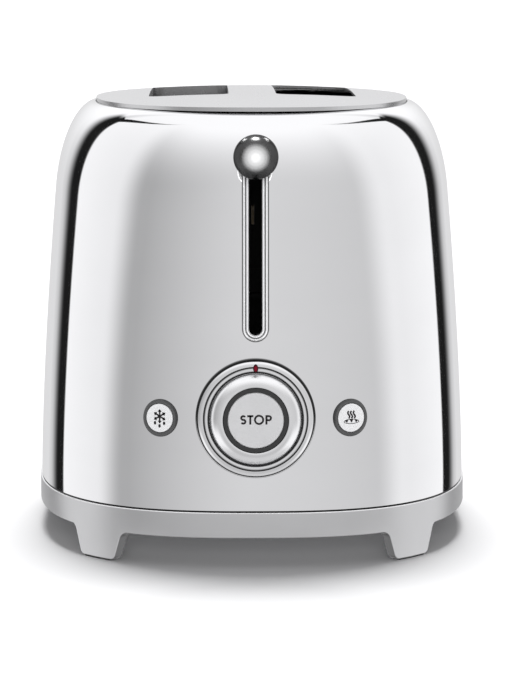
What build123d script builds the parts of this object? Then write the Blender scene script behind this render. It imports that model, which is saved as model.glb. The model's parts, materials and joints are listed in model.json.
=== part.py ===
from build123d import *
import os
from math import cos, pi, sin, sqrt

os.makedirs("parts", exist_ok=True)

# Two-slice toaster seen from its lever end. Millimetres, +Z up, the lever end faces -Y.
# The origin is under the middle of the whole toaster, lever ball included, on the table.

# Plan of the body: a rounded oblong, squarer at the base than at the top plate
body_half_width = 97.5
body_half_length = 155.0
base_squareness = 2.65
top_squareness = 2.2
outline_points = 11

# Heights, from the table up
pad_thickness = 0.8
leg_height = 11.2
ring_height = 12.5
gap_under_shell = 0.7
shell_top = 193.2
plate_apex = 198.0

# Base ring and legs
ring_wall = 3.0
flange_width = 8.0
flange_thickness = 3.0
seat_step = 0.9
ring_edge_radius = 0.5
leg_offset = 67.6
leg_thickness = 5.0
leg_bottom_width = 17.6
leg_top_width = 35.0
leg_flare_radius = 4.0
leg_corner_radius = 2.0
pad_margin = 1.0

# Outer shell: the wall leans in slowly, then turns over a rounded shoulder
shell_wall = 1.0
shell_step = 0.6
wall_lean = 10.0
lean_power = 1.5
shoulder_start = 155.0
shoulder_depth = 15.0
wall_sections = 14
trim_gap = 0.1

# Top plate, crowned both ways, with two bread slots
plate_half_width = 71.5
plate_half_length = 133.0
plate_sheet = 1.2
plate_rim = 1.6
plate_crown = 3.0
plate_opening_margin = 4.0
bread_slot_width = 36.0
bread_slot_length = 140.0
bread_slot_centre = 28.7
bread_slot_middle = 20.0
bread_slot_corner = 6.0
slot_lip = 1.0
slot_lip_depth = 10.0

# Lever, its ball and the slot that it runs in
lever_travel = 70.0
ball_radius = 9.5
ball_height = 175.5
ball_reach = 162.25
stem_radius = 2.2
stem_socket = 8.0
bezel_width = 11.5
bezel_thickness = 1.4
bezel_bottom = 96.5
slot_width = 5.6
slot_above_stem = 1.2
bezel_groove_width = 0.8
bezel_groove_depth = 0.5
slot_block_margin = 2.0
liner_wall = 0.9
liner_depth = 10.0
liner_flange = 3.0
liner_clearance = 0.25
liner_set_back = 1.6
liner_flange_rise = 0.6

# Browning dial with the stop button in its middle
dial_height = 64.3
dial_bezel_radius = 25.5
dial_bezel_front = 2.0
dial_barrel_radius = 19.7
dial_barrel_wall = 1.7
dial_barrel_depth = 4.0
dial_skirt_radius = 24.8
dial_outer_groove = 22.15
dial_inner_groove = 19.9
dial_groove_width = 0.45
dial_groove_depth = 0.9
dial_edge_radius = 3.6
dial_skirt_top = 4.1
dial_front = 8.4
dial_crown_radius = 14.75
dial_hub_wall = 1.6
dial_clearance = 0.3
pointer_length = 3.7
pointer_width = 2.2
pointer_middle = 21.4
pointer_depth = 1.2
pointer_stand = 0.2
dial_dome_radius = 5.6
stop_button_radius = 11.9
stop_sleeve_wall = 1.85
stop_travel = 1.5
stop_button_thickness = 2.6
running_fit = 0.08

# Two push buttons on the curved wall beside the dial
button_offset = 40.5
button_height = 63.7
button_radius = 6.05
button_ring_radius = 8.35
button_front = 0.7
button_ring_front = 0.9
button_thickness = 2.2
button_travel = 1.2
button_barrel_wall = 0.9
button_barrel_depth = 8.0
button_stem_radius = 2.0
switch_size = 12.0
side_switch_size = 14.0
switch_corner = 1.0
switch_depth = 4.0
plunger_radius = 1.7
plunger_height = 0.7
plunger_clearance = 0.1

# Control board behind the dial
board_depth = 17.0
board_thickness = 1.6
board_half_width = 26.0
board_bottom = 30.0
board_top = 97.0
board_spacer = 3.0
board_corner = 2.0
bracket_sheet = 1.2
bracket_foot = 14.0
bracket_half_width = 26.0
bracket_window = 30.0
bracket_window_corner = 4.0
spacer_radius = 3.2
board_hole_x = 21.0
board_hole_z = 27.0
control_radius = 17.5
control_depth = 7.0

# Inner chassis: two upright frames tied by reflectors, on the bottom plate
sheet = 1.2
bottom_sheet = 1.0
frame_half_width = 62.0
frame_top = 184.0
frame_foot_depth = 13.0
frame_foot_inner = 53.0
front_frame_depth = 60.0
rear_frame_depth = 94.0
lift_window = 5.0
reflector_offset = 58.0
reflector_bottom = 24.0
reflector_top = 182.0
reflector_sheet = 0.6
reflector_return = 3.6

# Guide rods and the carriage on them
rod_radius = 3.0
rod_offset = 24.0
bridge_half_width = 34.0
bridge_depth = 19.0
frame_relief = 4.0
carriage_half_width = 36.0
carriage_bottom = 108.0
carriage_top = 181.0
carriage_sheet = 1.5
boss_radius = 5.0
boss_overlap = 0.8
boss_height = 12.0
stem_boss_radius = 5.0
stem_boss_length = 5.0
stem_seat = 4.0
carriage_gap = 4.3
carriage_window = 30.0
lug_reach = 9.5
armature_half_width = 10.0
armature_thickness = 2.0
lug_offset = 12.0
lug_width = 6.0
lug_height = 113.0
spring_radius = 3.2
spring_wire = 0.72
spring_turns = 12
spring_gap = 0.1

# Bread lifts
lift_sheet = 1.2
lift_top = 115.0
lift_depth = 9.0
lift_rear_reach = 4.0
lift_tab_width = 24.0
lift_tab_length = 7.0
lift_tab_count = 8
lift_tab_pitch = 20.0

# Heaters: mica cards wound with flat wire
heater_sheet = 0.8
outer_heater_offset = 53.5
heater_bottom = 34.0
heater_top = 168.0
heater_end_gap = 0.3
heater_tab = 8.0
heater_tab_reach = 4.0
heater_tab_inset = 24.0
winding_width = 1.6
winding_sheet = 0.3
winding_gap = 0.05
winding_count = 12
winding_pitch = 12.0
winding_slack = 1.0
notch_depth = 2.0

# Bread guards: wire grilles that lean in on the bread as the lever goes down
guard_side_gap = 1.2
guard_wire = 0.7
guard_rail = 0.9
guard_pivot_radius = 1.2
guard_pivot_height = 40.0
guard_top = 150.0
guard_end_gap = 2.5
guard_rail_overhang = 3.0
guard_wire_count = 8
guard_middle_height = 96.0

# Crumb tray, drawn out to the rear
tray_half_width = 50.0
tray_front = 55.0
tray_sheet = 0.8
tray_wall_height = 4.6
tray_clearance = 0.3
tray_pull_thickness = 3.4
tray_grip_radius = 14.0
tray_grip_depth = 1.4

# Electromagnet, supply terminals and cord gland
magnet_width = 22.0
magnet_depth = 13.0
magnet_sheet = 2.0
magnet_gap = 0.4
coil_radius = 5.2
terminal_size = (30.0, 11.0, 14.0)
terminal_height = 31.0
terminal_corner = 1.5
terminal_screw_radius = 2.2
gland_offset = 72.0
gland_depth = 72.0
gland_flange_radius = 8.5
gland_neck_radius = 5.5
gland_bore_radius = 3.6
gland_flange = 1.6
gland_collar = 3.0
gland_collar_rise = 1.0
gland_collar_taper = 12.0

# Screws
screw_radius = 1.5
screw_head_radius = 3.0
screw_head_height = 1.6
screw_clearance = 0.1
screw_tip = 3.0
bottom_screw_inset = 5.5
side_screw_depth = 70.0

# Bottom plate vents
vent_length = 16.0
vent_width = 3.0
vent_pitch = 11.0
vent_count = 10
vent_offset = 72.0
vent_middle = -12.0

# Heights and places that follow from the sizes above
mid_y = (ball_reach + ball_radius - body_half_length) / 2
ring_bottom = pad_thickness + leg_height
ring_top = ring_bottom + ring_height
seat_height = ring_top + gap_under_shell
flange_top = ring_bottom + flange_thickness
floor_height = flange_top + bottom_sheet
frame_gap_length = front_frame_depth + rear_frame_depth
frame_middle = (rear_frame_depth - front_frame_depth) / 2
slot_top = ball_height + stem_radius + slot_above_stem
slot_bottom = bezel_bottom + (bezel_width - slot_width) / 2
tray_bottom = floor_height + tray_clearance
tray_top = tray_bottom + tray_sheet + tray_wall_height
hub_bore = stop_button_radius + running_fit + stop_sleeve_wall + running_fit

carriage_front = -front_frame_depth - sheet - carriage_gap - carriage_sheet
rod_depth = boss_radius - boss_overlap - carriage_front
socket_end = stem_socket - ball_radius
stem_start = carriage_front - stem_boss_length + stem_seat
bridge_bottom = frame_top - sheet


# Planes

def level(z):
    """Horizontal sketch plane at height z, centred on the body."""
    return Plane((0, mid_y, z))


def facing_front(depth, x=0.0, z=0.0):
    """Upright plane at a depth behind (negative: before) the body's middle, facing the lever end."""
    return Plane(origin=(x, mid_y + depth, z), x_dir=(1, 0, 0), z_dir=(0, -1, 0))


def facing_right(x):
    """Upright plane that faces right: its sketch x runs to the rear and its sketch y runs up."""
    return Plane(origin=(x, mid_y, 0), x_dir=(0, 1, 0), z_dir=(1, 0, 0))


def turning(face):
    """Plane for a profile turned about a face's normal: x is the radius and y points outward."""
    return Plane(origin=face.origin, x_dir=face.x_dir, z_dir=face.x_dir.cross(face.z_dir))


# The body's rounded oblong

def plan(z, half_width, half_length, squareness):
    """Face with a superellipse outline at height z, drawn as four curves that meet at its corners."""
    def reach(angle):
        return (abs(cos(angle)) ** squareness + abs(sin(angle)) ** squareness) ** (-1 / squareness)

    def point(angle):
        return (half_width * reach(angle) * cos(angle), half_length * reach(angle) * sin(angle))

    def heading(angle):
        pace = pi / 2 * reach(angle)
        return (-half_width * pace * sin(angle), half_length * pace * cos(angle))

    shares = [i / (outline_points - 1) for i in range(outline_points)]
    with BuildLine() as outline:
        for side in range(4):
            angles = [pi / 2 * (side + share) - 3 * pi / 4 for share in shares]
            ends = (heading(angles[0]), heading(angles[-1]))
            add(Edge.make_spline([point(angle) for angle in angles], tangents=ends, parameters=shares,
                                 scale=False))
    return level(z) * Face(outline.wire())


def ring_plan(z, inset):
    """The base ring's outline at height z, drawn in by inset."""
    return plan(z, body_half_width - inset, body_half_length - inset, base_squareness)


def shoulder_turn(z):
    """How far round the shoulder a height is: 0 below it and 1 at the top."""
    return min(1.0, max(0.0, (z - shoulder_start) / (shell_top - shoulder_start)))


def wall_inset(z):
    """How far in from the base ring's outline the wall's outside lies at height z."""
    rise = max(0.0, (z - seat_height) / (shell_top - seat_height))
    shoulder = shoulder_depth * (1 - sqrt(1 - shoulder_turn(z) ** 2))
    return shell_step + wall_lean * rise**lean_power + shoulder


def wall_squareness(z):
    """The plan's squareness at height z: the shoulder rounds it towards the top plate's."""
    rise = max(0.0, (z - seat_height) / (shell_top - seat_height))
    return base_squareness + (top_squareness - base_squareness) * rise**2


def wall_block(grow, bottom):
    """Solid bounded by the wall's outside, moved outward by grow, from bottom to the top."""
    turns = [sin(pi / 2 * i / wall_sections) for i in range(wall_sections + 1)]
    heights = [seat_height + (shell_top - seat_height) * turn for turn in turns]
    sections = [ring_plan(bottom, shell_step - grow)] if bottom < seat_height else []
    for z in heights:
        raised = z + grow * (z - seat_height) / (shell_top - seat_height)
        inset = wall_inset(z) - grow
        half_width, half_length = body_half_width - inset, body_half_length - inset
        sections.append(plan(raised, half_width, half_length, wall_squareness(z)))
    with BuildPart() as block:
        loft(sections)
    return block.part


def wall_depth(x, z):
    """Distance of the wall's outside before the body's middle, at x and z."""
    half_width = body_half_width - wall_inset(z)
    half_length = body_half_length - wall_inset(z)
    power = wall_squareness(z)
    return half_length * (1 - (abs(x) / half_width) ** power) ** (1 / power)


def outline_face(x, depth, half_width, half_length, squareness, z):
    """Upright plane at a point of an outline, square to it; its sketch x runs right and y up."""
    across = (abs(x) / half_width) ** (squareness - 1) / half_width * (1 if x > 0 else -1)
    along = (abs(depth) / half_length) ** (squareness - 1) / half_length * (1 if depth > 0 else -1)
    normal = Vector(across, along, 0).normalized()
    return Plane(origin=(x, mid_y + depth, z), x_dir=Vector(0, 0, 1).cross(normal), z_dir=normal)


def wall_face(x, z):
    """Plane on the front wall at x and z, square to the wall's plan there."""
    inset = wall_inset(z)
    half_width, half_length = body_half_width - inset, body_half_length - inset
    return outline_face(x, -wall_depth(x, z), half_width, half_length, wall_squareness(z), z)


def leg_face(side, end):
    """Plane on the base ring's outline at a leg, from the table up."""
    share = (1 - (leg_offset / body_half_width) ** base_squareness) ** (1 / base_squareness)
    depth = end * body_half_length * share
    return outline_face(side * leg_offset, depth, body_half_width, body_half_length, base_squareness, 0)


def front_band(inner, outer, bottom, top, half_width):
    """Strip that follows the front wall in side view, between two distances outside it."""
    steps = 12
    heights = [bottom + (top - bottom) * i / steps for i in range(steps + 1)]
    with BuildPart() as band:
        with BuildSketch(facing_right(0)):
            with BuildLine():
                near = Spline(*[(-wall_depth(0, z) - inner, z) for z in heights])
                far = Spline(*[(-wall_depth(0, z) - outer, z) for z in heights])
                Line(near @ 0, far @ 0)
                Line(near @ 1, far @ 1)
            make_face()
        extrude(amount=half_width, both=True)
    return band.part


def upright_slot(width, bottom, top):
    """Round-ended upright slot, as a block that runs right through the front wall."""
    with BuildPart() as block:
        with BuildSketch(facing_front(-body_half_length / 2, z=(bottom + top) / 2)):
            SlotOverall(top - bottom, width, rotation=90)
        extrude(amount=body_half_length)
    return block.part


def crown_block(apex, floor):
    """Block whose top is the plate's double curve, with its highest point at apex."""
    cross_radius = plate_half_width**2 / (2 * plate_crown)
    long_radius = plate_half_length**2 / (2 * plate_crown)
    reach = plate_half_width + 10
    sag = cross_radius - sqrt(cross_radius**2 - reach**2)
    swing = (plate_half_length + 10) / long_radius
    start = Plane(
        origin=(0, mid_y, apex - long_radius), x_dir=(1, 0, 0), z_dir=(0, -cos(swing), -sin(swing))
    )
    with BuildPart() as block:
        with BuildSketch(start):
            with BuildLine():
                edge = long_radius - sag
                crown = ThreePointArc((-reach, edge), (0, long_radius), (reach, edge))
                Polyline(crown @ 1, (reach, long_radius - apex + floor),
                         (-reach, long_radius - apex + floor), crown @ 0)
            make_face()
        revolve(axis=Axis((0, mid_y, apex - long_radius), (-1, 0, 0)), revolution_arc=2 * swing * 180 / pi)
    return block.part


wall_seat = wall_block(trim_gap, seat_height)
dial_face = facing_front(-wall_depth(0, dial_height), z=dial_height)
button_places = {"defrost": -button_offset, "reheat": button_offset}
leg_faces = [leg_face(side, end) for side in (-1, 1) for end in (-1, 1)]

# Screws that hold the bottom plate: four along the sides of the base ring
screw_row_length = body_half_length - bottom_screw_inset
screw_row_share = (1 - (side_screw_depth / screw_row_length) ** base_squareness) ** (1 / base_squareness)
side_screw = (body_half_width - bottom_screw_inset) * screw_row_share
bottom_screw_rows = (-side_screw_depth, side_screw_depth)
bottom_screw_places = [(x, y) for x in (-side_screw, side_screw) for y in bottom_screw_rows]
foot_screw_x = (frame_half_width + frame_foot_inner) / 2
front_foot_y = -front_frame_depth - sheet - frame_foot_depth / 2
rear_foot_y = rear_frame_depth + sheet + frame_foot_depth / 2
foot_screw_places = [(x, y) for x in (-foot_screw_x, foot_screw_x) for y in (front_foot_y, rear_foot_y)]

# Bread slots in the top plate, moved to the rear of the lever's works
bread_slot_places = [(side * bread_slot_centre, bread_slot_middle) for side in (-1, 1)]

# Places in the front view: x and height
heater_places = {"left": -outer_heater_offset, "centre": 0.0, "right": outer_heater_offset}
heater_tab_heights = (heater_bottom + heater_tab_inset, heater_top - heater_tab_inset)
heater_tab_places = [(x, z) for x in heater_places.values() for z in heater_tab_heights]
heater_slit_width = heater_sheet + 2 * heater_end_gap
heater_slit_height = heater_tab + 2 * heater_end_gap
lift_bottom = lift_top - lift_depth - lever_travel
lift_places = [(side * bread_slot_centre, (lift_bottom + lift_top) / 2) for side in (-1, 1)]
lift_window_height = lift_top - lift_bottom + 2 * lift_window
guard_inner = bread_slot_centre - bread_slot_width / 2 - guard_side_gap
guard_outer = bread_slot_centre + bread_slot_width / 2 + guard_side_gap
guard_places = {"left_outer": -guard_outer, "left_inner": -guard_inner,
                "right_inner": guard_inner, "right_outer": guard_outer}
guard_pivots = [(x, guard_pivot_height) for x in guard_places.values()]
inward = {-1: Align.MIN, 1: Align.MAX}

# Base ring with its four legs
with BuildPart() as base_ring:
    extrude(ring_plan(0, 0), amount=ring_bottom + flange_thickness / 2)
    extrude(ring_plan(0, leg_thickness), amount=ring_bottom + flange_thickness, mode=Mode.SUBTRACT)
    for face in leg_faces:
        with BuildSketch(face) as leg:
            with BuildLine():
                Polyline((-leg_bottom_width / 2, pad_thickness), (-leg_top_width / 2, ring_bottom),
                         (-leg_top_width, ring_bottom), (-leg_top_width, ring_top),
                         (leg_top_width, ring_top), (leg_top_width, ring_bottom),
                         (leg_top_width / 2, ring_bottom), (leg_bottom_width / 2, pad_thickness),
                         close=True)
            make_face()
            roots = leg.vertices().group_by(Axis.Y)[1].sort_by(lambda corner: abs(corner.X))[:2]
            fillet(roots, leg_flare_radius)
            fillet(leg.vertices().group_by(Axis.Y)[0], leg_corner_radius)
    extrude(amount=leg_top_width, both=True, mode=Mode.INTERSECT)
    extrude(ring_plan(ring_bottom, 0), amount=ring_height - ring_edge_radius)
    loft([ring_plan(ring_top - ring_edge_radius, 0), ring_plan(ring_top, ring_edge_radius)])
    extrude(ring_plan(ring_bottom, seat_step), amount=seat_height - ring_bottom)
    extrude(ring_plan(ring_bottom, flange_width), amount=seat_height, mode=Mode.SUBTRACT)
    extrude(ring_plan(flange_top, ring_wall), amount=seat_height, mode=Mode.SUBTRACT)
    with BuildSketch(level(ring_bottom)):
        with Locations(*bottom_screw_places):
            Circle(screw_head_radius + screw_clearance)
    extrude(amount=screw_head_height + screw_clearance, mode=Mode.SUBTRACT)
    with BuildSketch(level(ring_bottom)):
        with Locations(*bottom_screw_places):
            Circle(screw_radius + screw_clearance)
    extrude(amount=flange_thickness, mode=Mode.SUBTRACT)
    with BuildSketch(facing_front(body_half_length * 1.5)):
        with Locations((0, (tray_bottom + tray_top) / 2)):
            Rectangle(2 * tray_half_width + 4 * tray_clearance, tray_top - tray_bottom + 2 * tray_clearance)
    extrude(amount=body_half_length, mode=Mode.SUBTRACT)
base_ring.part.label = "base_ring"
export_step(base_ring.part, "parts/base_ring.step")

# Four rubber pads, one under each leg
with BuildPart() as rubber_feet:
    extrude(ring_plan(0, pad_margin), amount=pad_thickness)
    extrude(ring_plan(0, leg_thickness - pad_margin), amount=pad_thickness, mode=Mode.SUBTRACT)
    for face in leg_faces:
        with BuildSketch(face):
            Rectangle(leg_bottom_width - 2 * leg_corner_radius - pad_margin, 2 * pad_thickness)
    extrude(amount=2 * leg_thickness, both=True, mode=Mode.INTERSECT)
rubber_feet.part.label = "rubber_feet"
export_step(rubber_feet.part, "parts/rubber_feet.step")

# Bottom plate on the ring's flange, with vents on both sides and a hole for the cord gland
with BuildPart() as bottom_plate:
    extrude(ring_plan(flange_top, ring_wall + tray_clearance), amount=bottom_sheet)
    with BuildSketch(level(flange_top)):
        for side in (-1, 1):
            with Locations((side * vent_offset, vent_middle)):
                with GridLocations(0, vent_pitch, 1, vent_count):
                    SlotOverall(vent_length, vent_width)
        with Locations(*bottom_screw_places, *foot_screw_places):
            Circle(screw_radius + screw_clearance)
        with Locations((gland_offset, gland_depth)):
            Circle(gland_neck_radius + trim_gap)
    extrude(amount=bottom_sheet, mode=Mode.SUBTRACT)
bottom_plate.part.label = "bottom_plate"
export_step(bottom_plate.part, "parts/bottom_plate.step")

# Gland that the supply cord leaves by, under the base
with BuildPart() as cord_gland:
    with BuildSketch(level(flange_top - gland_flange)):
        with Locations((gland_offset, gland_depth)):
            Circle(gland_flange_radius)
    extrude(amount=gland_flange)
    with BuildSketch(level(flange_top)):
        with Locations((gland_offset, gland_depth)):
            Circle(gland_neck_radius)
    extrude(amount=bottom_sheet + gland_collar)
    with BuildSketch(level(floor_height + trim_gap)):
        with Locations((gland_offset, gland_depth)):
            Circle(gland_neck_radius + gland_collar_rise)
    extrude(amount=gland_collar - trim_gap, taper=gland_collar_taper)
    with BuildSketch(level(flange_top - gland_flange)):
        with Locations((gland_offset, gland_depth)):
            Circle(gland_bore_radius)
    extrude(amount=gland_flange + bottom_sheet + gland_collar, mode=Mode.SUBTRACT)
cord_gland.part.label = "cord_gland"
export_step(cord_gland.part, "parts/cord_gland.step")

# Outer shell: one drawn skin with its shoulder, open below and under the top plate
with BuildPart() as outer_shell:
    add(wall_block(0, seat_height))
    add(wall_block(-shell_wall, seat_height - shell_wall), mode=Mode.SUBTRACT)
    opening = plan(shell_top - 2 * shell_wall, plate_half_width - plate_opening_margin,
                   plate_half_length - plate_opening_margin, top_squareness)
    extrude(opening, amount=4 * shell_wall, mode=Mode.SUBTRACT)
    liner_width = slot_width + 2 * liner_wall
    add(upright_slot(liner_width + 2 * liner_clearance, slot_bottom - liner_wall - liner_clearance,
                     slot_top + liner_wall + liner_clearance), mode=Mode.SUBTRACT)
    with BuildSketch(dial_face):
        Circle(dial_barrel_radius + liner_clearance)
    extrude(amount=dial_barrel_radius, both=True, mode=Mode.SUBTRACT)
    for place in button_places.values():
        with BuildSketch(wall_face(place, button_height)):
            Circle(button_radius + running_fit + button_barrel_wall + liner_clearance)
    extrude(amount=button_ring_radius, both=True, mode=Mode.SUBTRACT)
outer_shell.part.label = "outer_shell"
export_step(outer_shell.part, "parts/outer_shell.step")

# Top plate: a crowned sheet with a rim, and a turned-down lip round each bread slot
with BuildPart() as plate_hollow:
    extrude(plan(shell_top, plate_half_width - plate_rim, plate_half_length - plate_rim, top_squareness),
            amount=plate_apex - shell_top)
    add(crown_block(plate_apex - plate_sheet, shell_top - slot_lip_depth), mode=Mode.INTERSECT)

with BuildPart() as top_plate:
    extrude(plan(shell_top, plate_half_width, plate_half_length, top_squareness),
            amount=plate_apex - shell_top)
    add(plate_hollow.part, mode=Mode.SUBTRACT)
    with BuildSketch(level(plate_apex - slot_lip_depth)):
        with Locations(*bread_slot_places):
            RectangleRounded(bread_slot_width + 2 * slot_lip, bread_slot_length + 2 * slot_lip,
                             bread_slot_corner + slot_lip)
    extrude(amount=slot_lip_depth)
    with BuildSketch(level(plate_apex - slot_lip_depth)):
        with Locations(*bread_slot_places):
            RectangleRounded(bread_slot_width, bread_slot_length, bread_slot_corner)
    extrude(amount=slot_lip_depth, mode=Mode.SUBTRACT)
    add(crown_block(plate_apex, shell_top - slot_lip_depth), mode=Mode.INTERSECT)
top_plate.part.label = "top_plate"
export_step(top_plate.part, "parts/top_plate.step")

# Chromed bezel round the lever slot, grooved once, seated on the front wall
bezel_top = slot_top + (bezel_width - slot_width) / 2
groove_middle = (bezel_width + slot_width) / 2
groove_reach = (groove_middle - slot_width) / 2
with BuildPart() as slot_bezel:
    add(front_band(trim_gap, bezel_thickness, bezel_bottom - slot_block_margin,
                   bezel_top + slot_block_margin, bezel_width))
    add(upright_slot(bezel_width, bezel_bottom, bezel_top), mode=Mode.INTERSECT)
    add(upright_slot(slot_width, slot_bottom, slot_top), mode=Mode.SUBTRACT)
    outer_reach = groove_reach + bezel_groove_width / 2
    inner_reach = groove_reach - bezel_groove_width / 2
    groove = upright_slot(groove_middle + bezel_groove_width, slot_bottom - outer_reach,
                          slot_top + outer_reach)
    groove -= upright_slot(groove_middle - bezel_groove_width, slot_bottom - inner_reach,
                           slot_top + inner_reach)
    groove -= front_band(-liner_depth, bezel_thickness - bezel_groove_depth,
                         bezel_bottom - slot_block_margin, bezel_top + slot_block_margin, bezel_width)
    add(groove, mode=Mode.SUBTRACT)
slot_bezel.part.label = "slot_bezel"
export_step(slot_bezel.part, "parts/slot_bezel.step")

# Dark liner inside the lever slot, with a flange behind the wall
with BuildPart() as slot_liner:
    add(front_band(-liner_depth, trim_gap / 2, slot_bottom - slot_block_margin,
                   slot_top + slot_block_margin, bezel_width))
    add(upright_slot(slot_width + 2 * liner_wall, slot_bottom - liner_wall, slot_top + liner_wall),
        mode=Mode.INTERSECT)
    flange = front_band(-liner_set_back - liner_wall, -liner_set_back, slot_bottom - 2 * liner_flange,
                        slot_top + 2 * liner_flange, bezel_width)
    add(flange & upright_slot(slot_width + 2 * liner_flange, slot_bottom - liner_flange,
                              slot_top + liner_wall + liner_flange_rise))
    add(upright_slot(slot_width, slot_bottom, slot_top), mode=Mode.SUBTRACT)
slot_liner.part.label = "slot_liner"
export_step(slot_liner.part, "parts/slot_liner.step")

# Lever ball, bored from behind for its stem
ball_face = facing_front(-ball_reach, z=ball_height)
with BuildPart() as lever_ball:
    with BuildSketch(turning(ball_face)):
        with BuildLine():
            CenterArc((0, 0), ball_radius, 90, -180)
            Line((0, ball_radius), (0, -ball_radius))
        make_face()
        with Locations((0, socket_end)):
            Rectangle(stem_radius, ball_radius * 2, align=(Align.MIN, Align.MAX), mode=Mode.SUBTRACT)
    revolve(axis=Axis(ball_face.origin, ball_face.z_dir))
lever_ball.part.label = "lever_ball"
export_step(lever_ball.part, "parts/lever_ball.step")

# Stem from the carriage to the ball
with BuildPart() as lever_stem:
    with BuildSketch(facing_front(stem_start, z=ball_height)):
        Circle(stem_radius - running_fit)
    extrude(amount=ball_reach + socket_end + stem_start)
lever_stem.part.label = "lever_stem"
export_step(lever_stem.part, "parts/lever_stem.step")

# Carriage: a plate with four guide bosses, a boss for the stem, a spring lug and the latch armature
with BuildPart() as carriage:
    with BuildSketch(facing_front(carriage_front + carriage_sheet)) as face:
        with Locations((0, (carriage_bottom + carriage_top) / 2)):
            RectangleRounded(2 * carriage_half_width, carriage_top - carriage_bottom, boss_radius)
        with Locations((0, (lug_height + ball_height) / 2)):
            RectangleRounded(carriage_window, ball_height - lug_height - 3 * stem_boss_radius, boss_radius,
                             mode=Mode.SUBTRACT)
    extrude(amount=carriage_sheet)
    for z in (carriage_bottom, carriage_top - boss_height):
        with BuildSketch(level(z)):
            with Locations((-rod_offset, -rod_depth), (rod_offset, -rod_depth)):
                Circle(boss_radius)
        extrude(amount=boss_height)
    with BuildSketch(facing_front(carriage_front, z=ball_height)):
        Circle(stem_boss_radius)
    extrude(amount=stem_boss_length)
    with BuildSketch(level(lug_height - armature_thickness)):
        with Locations((lug_offset, carriage_front)):
            Rectangle(lug_width, lug_reach, align=(Align.CENTER, Align.MAX))
    extrude(amount=armature_thickness)
    with BuildSketch(level(carriage_bottom)):
        with Locations((0, carriage_front)):
            Rectangle(2 * armature_half_width, lug_reach, align=(Align.CENTER, Align.MAX))
    extrude(amount=armature_thickness)
    with BuildSketch(level(carriage_bottom)):
        with Locations((-rod_offset, -rod_depth), (rod_offset, -rod_depth)):
            Circle(rod_radius + running_fit)
    extrude(amount=carriage_top - carriage_bottom, mode=Mode.SUBTRACT)
    with BuildSketch(facing_front(carriage_front, z=ball_height)):
        Circle(stem_radius)
    extrude(amount=stem_boss_length, mode=Mode.SUBTRACT)
carriage.part.label = "carriage"
export_step(carriage.part, "parts/carriage.step")

# Two bread lifts: upright strips on the carriage, with cross tabs that hold the bread
for side, place in {"left": -bread_slot_centre, "right": bread_slot_centre}.items():
    with BuildPart() as bread_lift:
        strip_front = carriage_front + carriage_sheet
        strip_rear = rear_frame_depth + sheet + lift_rear_reach
        with BuildSketch(facing_right(place)):
            with Locations(((strip_front + strip_rear) / 2, lift_top - lift_depth / 2)):
                Rectangle(strip_rear - strip_front, lift_depth)
        extrude(amount=lift_sheet / 2, both=True)
        with BuildSketch(level(lift_top)):
            with Locations((place, frame_middle)):
                with GridLocations(0, lift_tab_pitch, 1, lift_tab_count):
                    RectangleRounded(lift_tab_width, lift_tab_length, lift_tab_length / 3)
        extrude(amount=lift_sheet)
    bread_lift.part.label = f"bread_lift_{side}"
    export_step(bread_lift.part, f"parts/bread_lift_{side}.step")

# Two guide rods from the bottom plate to the front frame's bridge
with BuildPart() as guide_rods:
    with BuildSketch(level(floor_height)):
        with Locations((-rod_offset, -rod_depth), (rod_offset, -rod_depth)):
            Circle(rod_radius)
    extrude(amount=frame_top - floor_height)
guide_rods.part.label = "guide_rods"
export_step(guide_rods.part, "parts/guide_rods.step")

# Front frame: an upright plate with windows for the lifts, pivot holes, feet and a bridge over the rods
with BuildPart() as front_frame:
    with BuildSketch(facing_front(-front_frame_depth)):
        with Locations((0, (floor_height + frame_top) / 2)):
            Rectangle(2 * frame_half_width, frame_top - floor_height)
        with Locations(*lift_places):
            SlotOverall(lift_window_height, lift_window, rotation=90, mode=Mode.SUBTRACT)
        with Locations(*guard_pivots):
            Circle(guard_pivot_radius + running_fit, mode=Mode.SUBTRACT)
        with Locations(*heater_tab_places):
            Rectangle(heater_slit_width, heater_slit_height, mode=Mode.SUBTRACT)
        with Locations((0, frame_top)):
            Rectangle(bridge_half_width, frame_relief, align=(Align.CENTER, Align.MAX), mode=Mode.SUBTRACT)
    extrude(amount=sheet)
    with BuildSketch(level(floor_height)):
        with Locations(*[(x, front_foot_y) for x in (-foot_screw_x, foot_screw_x)]):
            Rectangle(frame_half_width - frame_foot_inner, frame_foot_depth)
            Circle(screw_radius + screw_clearance, mode=Mode.SUBTRACT)
    extrude(amount=sheet)
    with BuildSketch(level(frame_top - sheet)):
        for side in (-1, 1):
            with Locations((side * (rod_offset + bridge_half_width) / 2, -front_frame_depth - sheet)):
                Rectangle(bridge_half_width - rod_offset + 2 * boss_radius, bridge_depth,
                          align=(Align.CENTER, Align.MAX))
        with Locations((0, -front_frame_depth - sheet - bridge_depth)):
            Rectangle(2 * bridge_half_width, bridge_depth / 2, align=(Align.CENTER, Align.MIN))
        with Locations((-rod_offset, -rod_depth), (rod_offset, -rod_depth)):
            Circle(rod_radius, mode=Mode.SUBTRACT)
    extrude(amount=sheet)
front_frame.part.label = "front_frame"
export_step(front_frame.part, "parts/front_frame.step")

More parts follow.
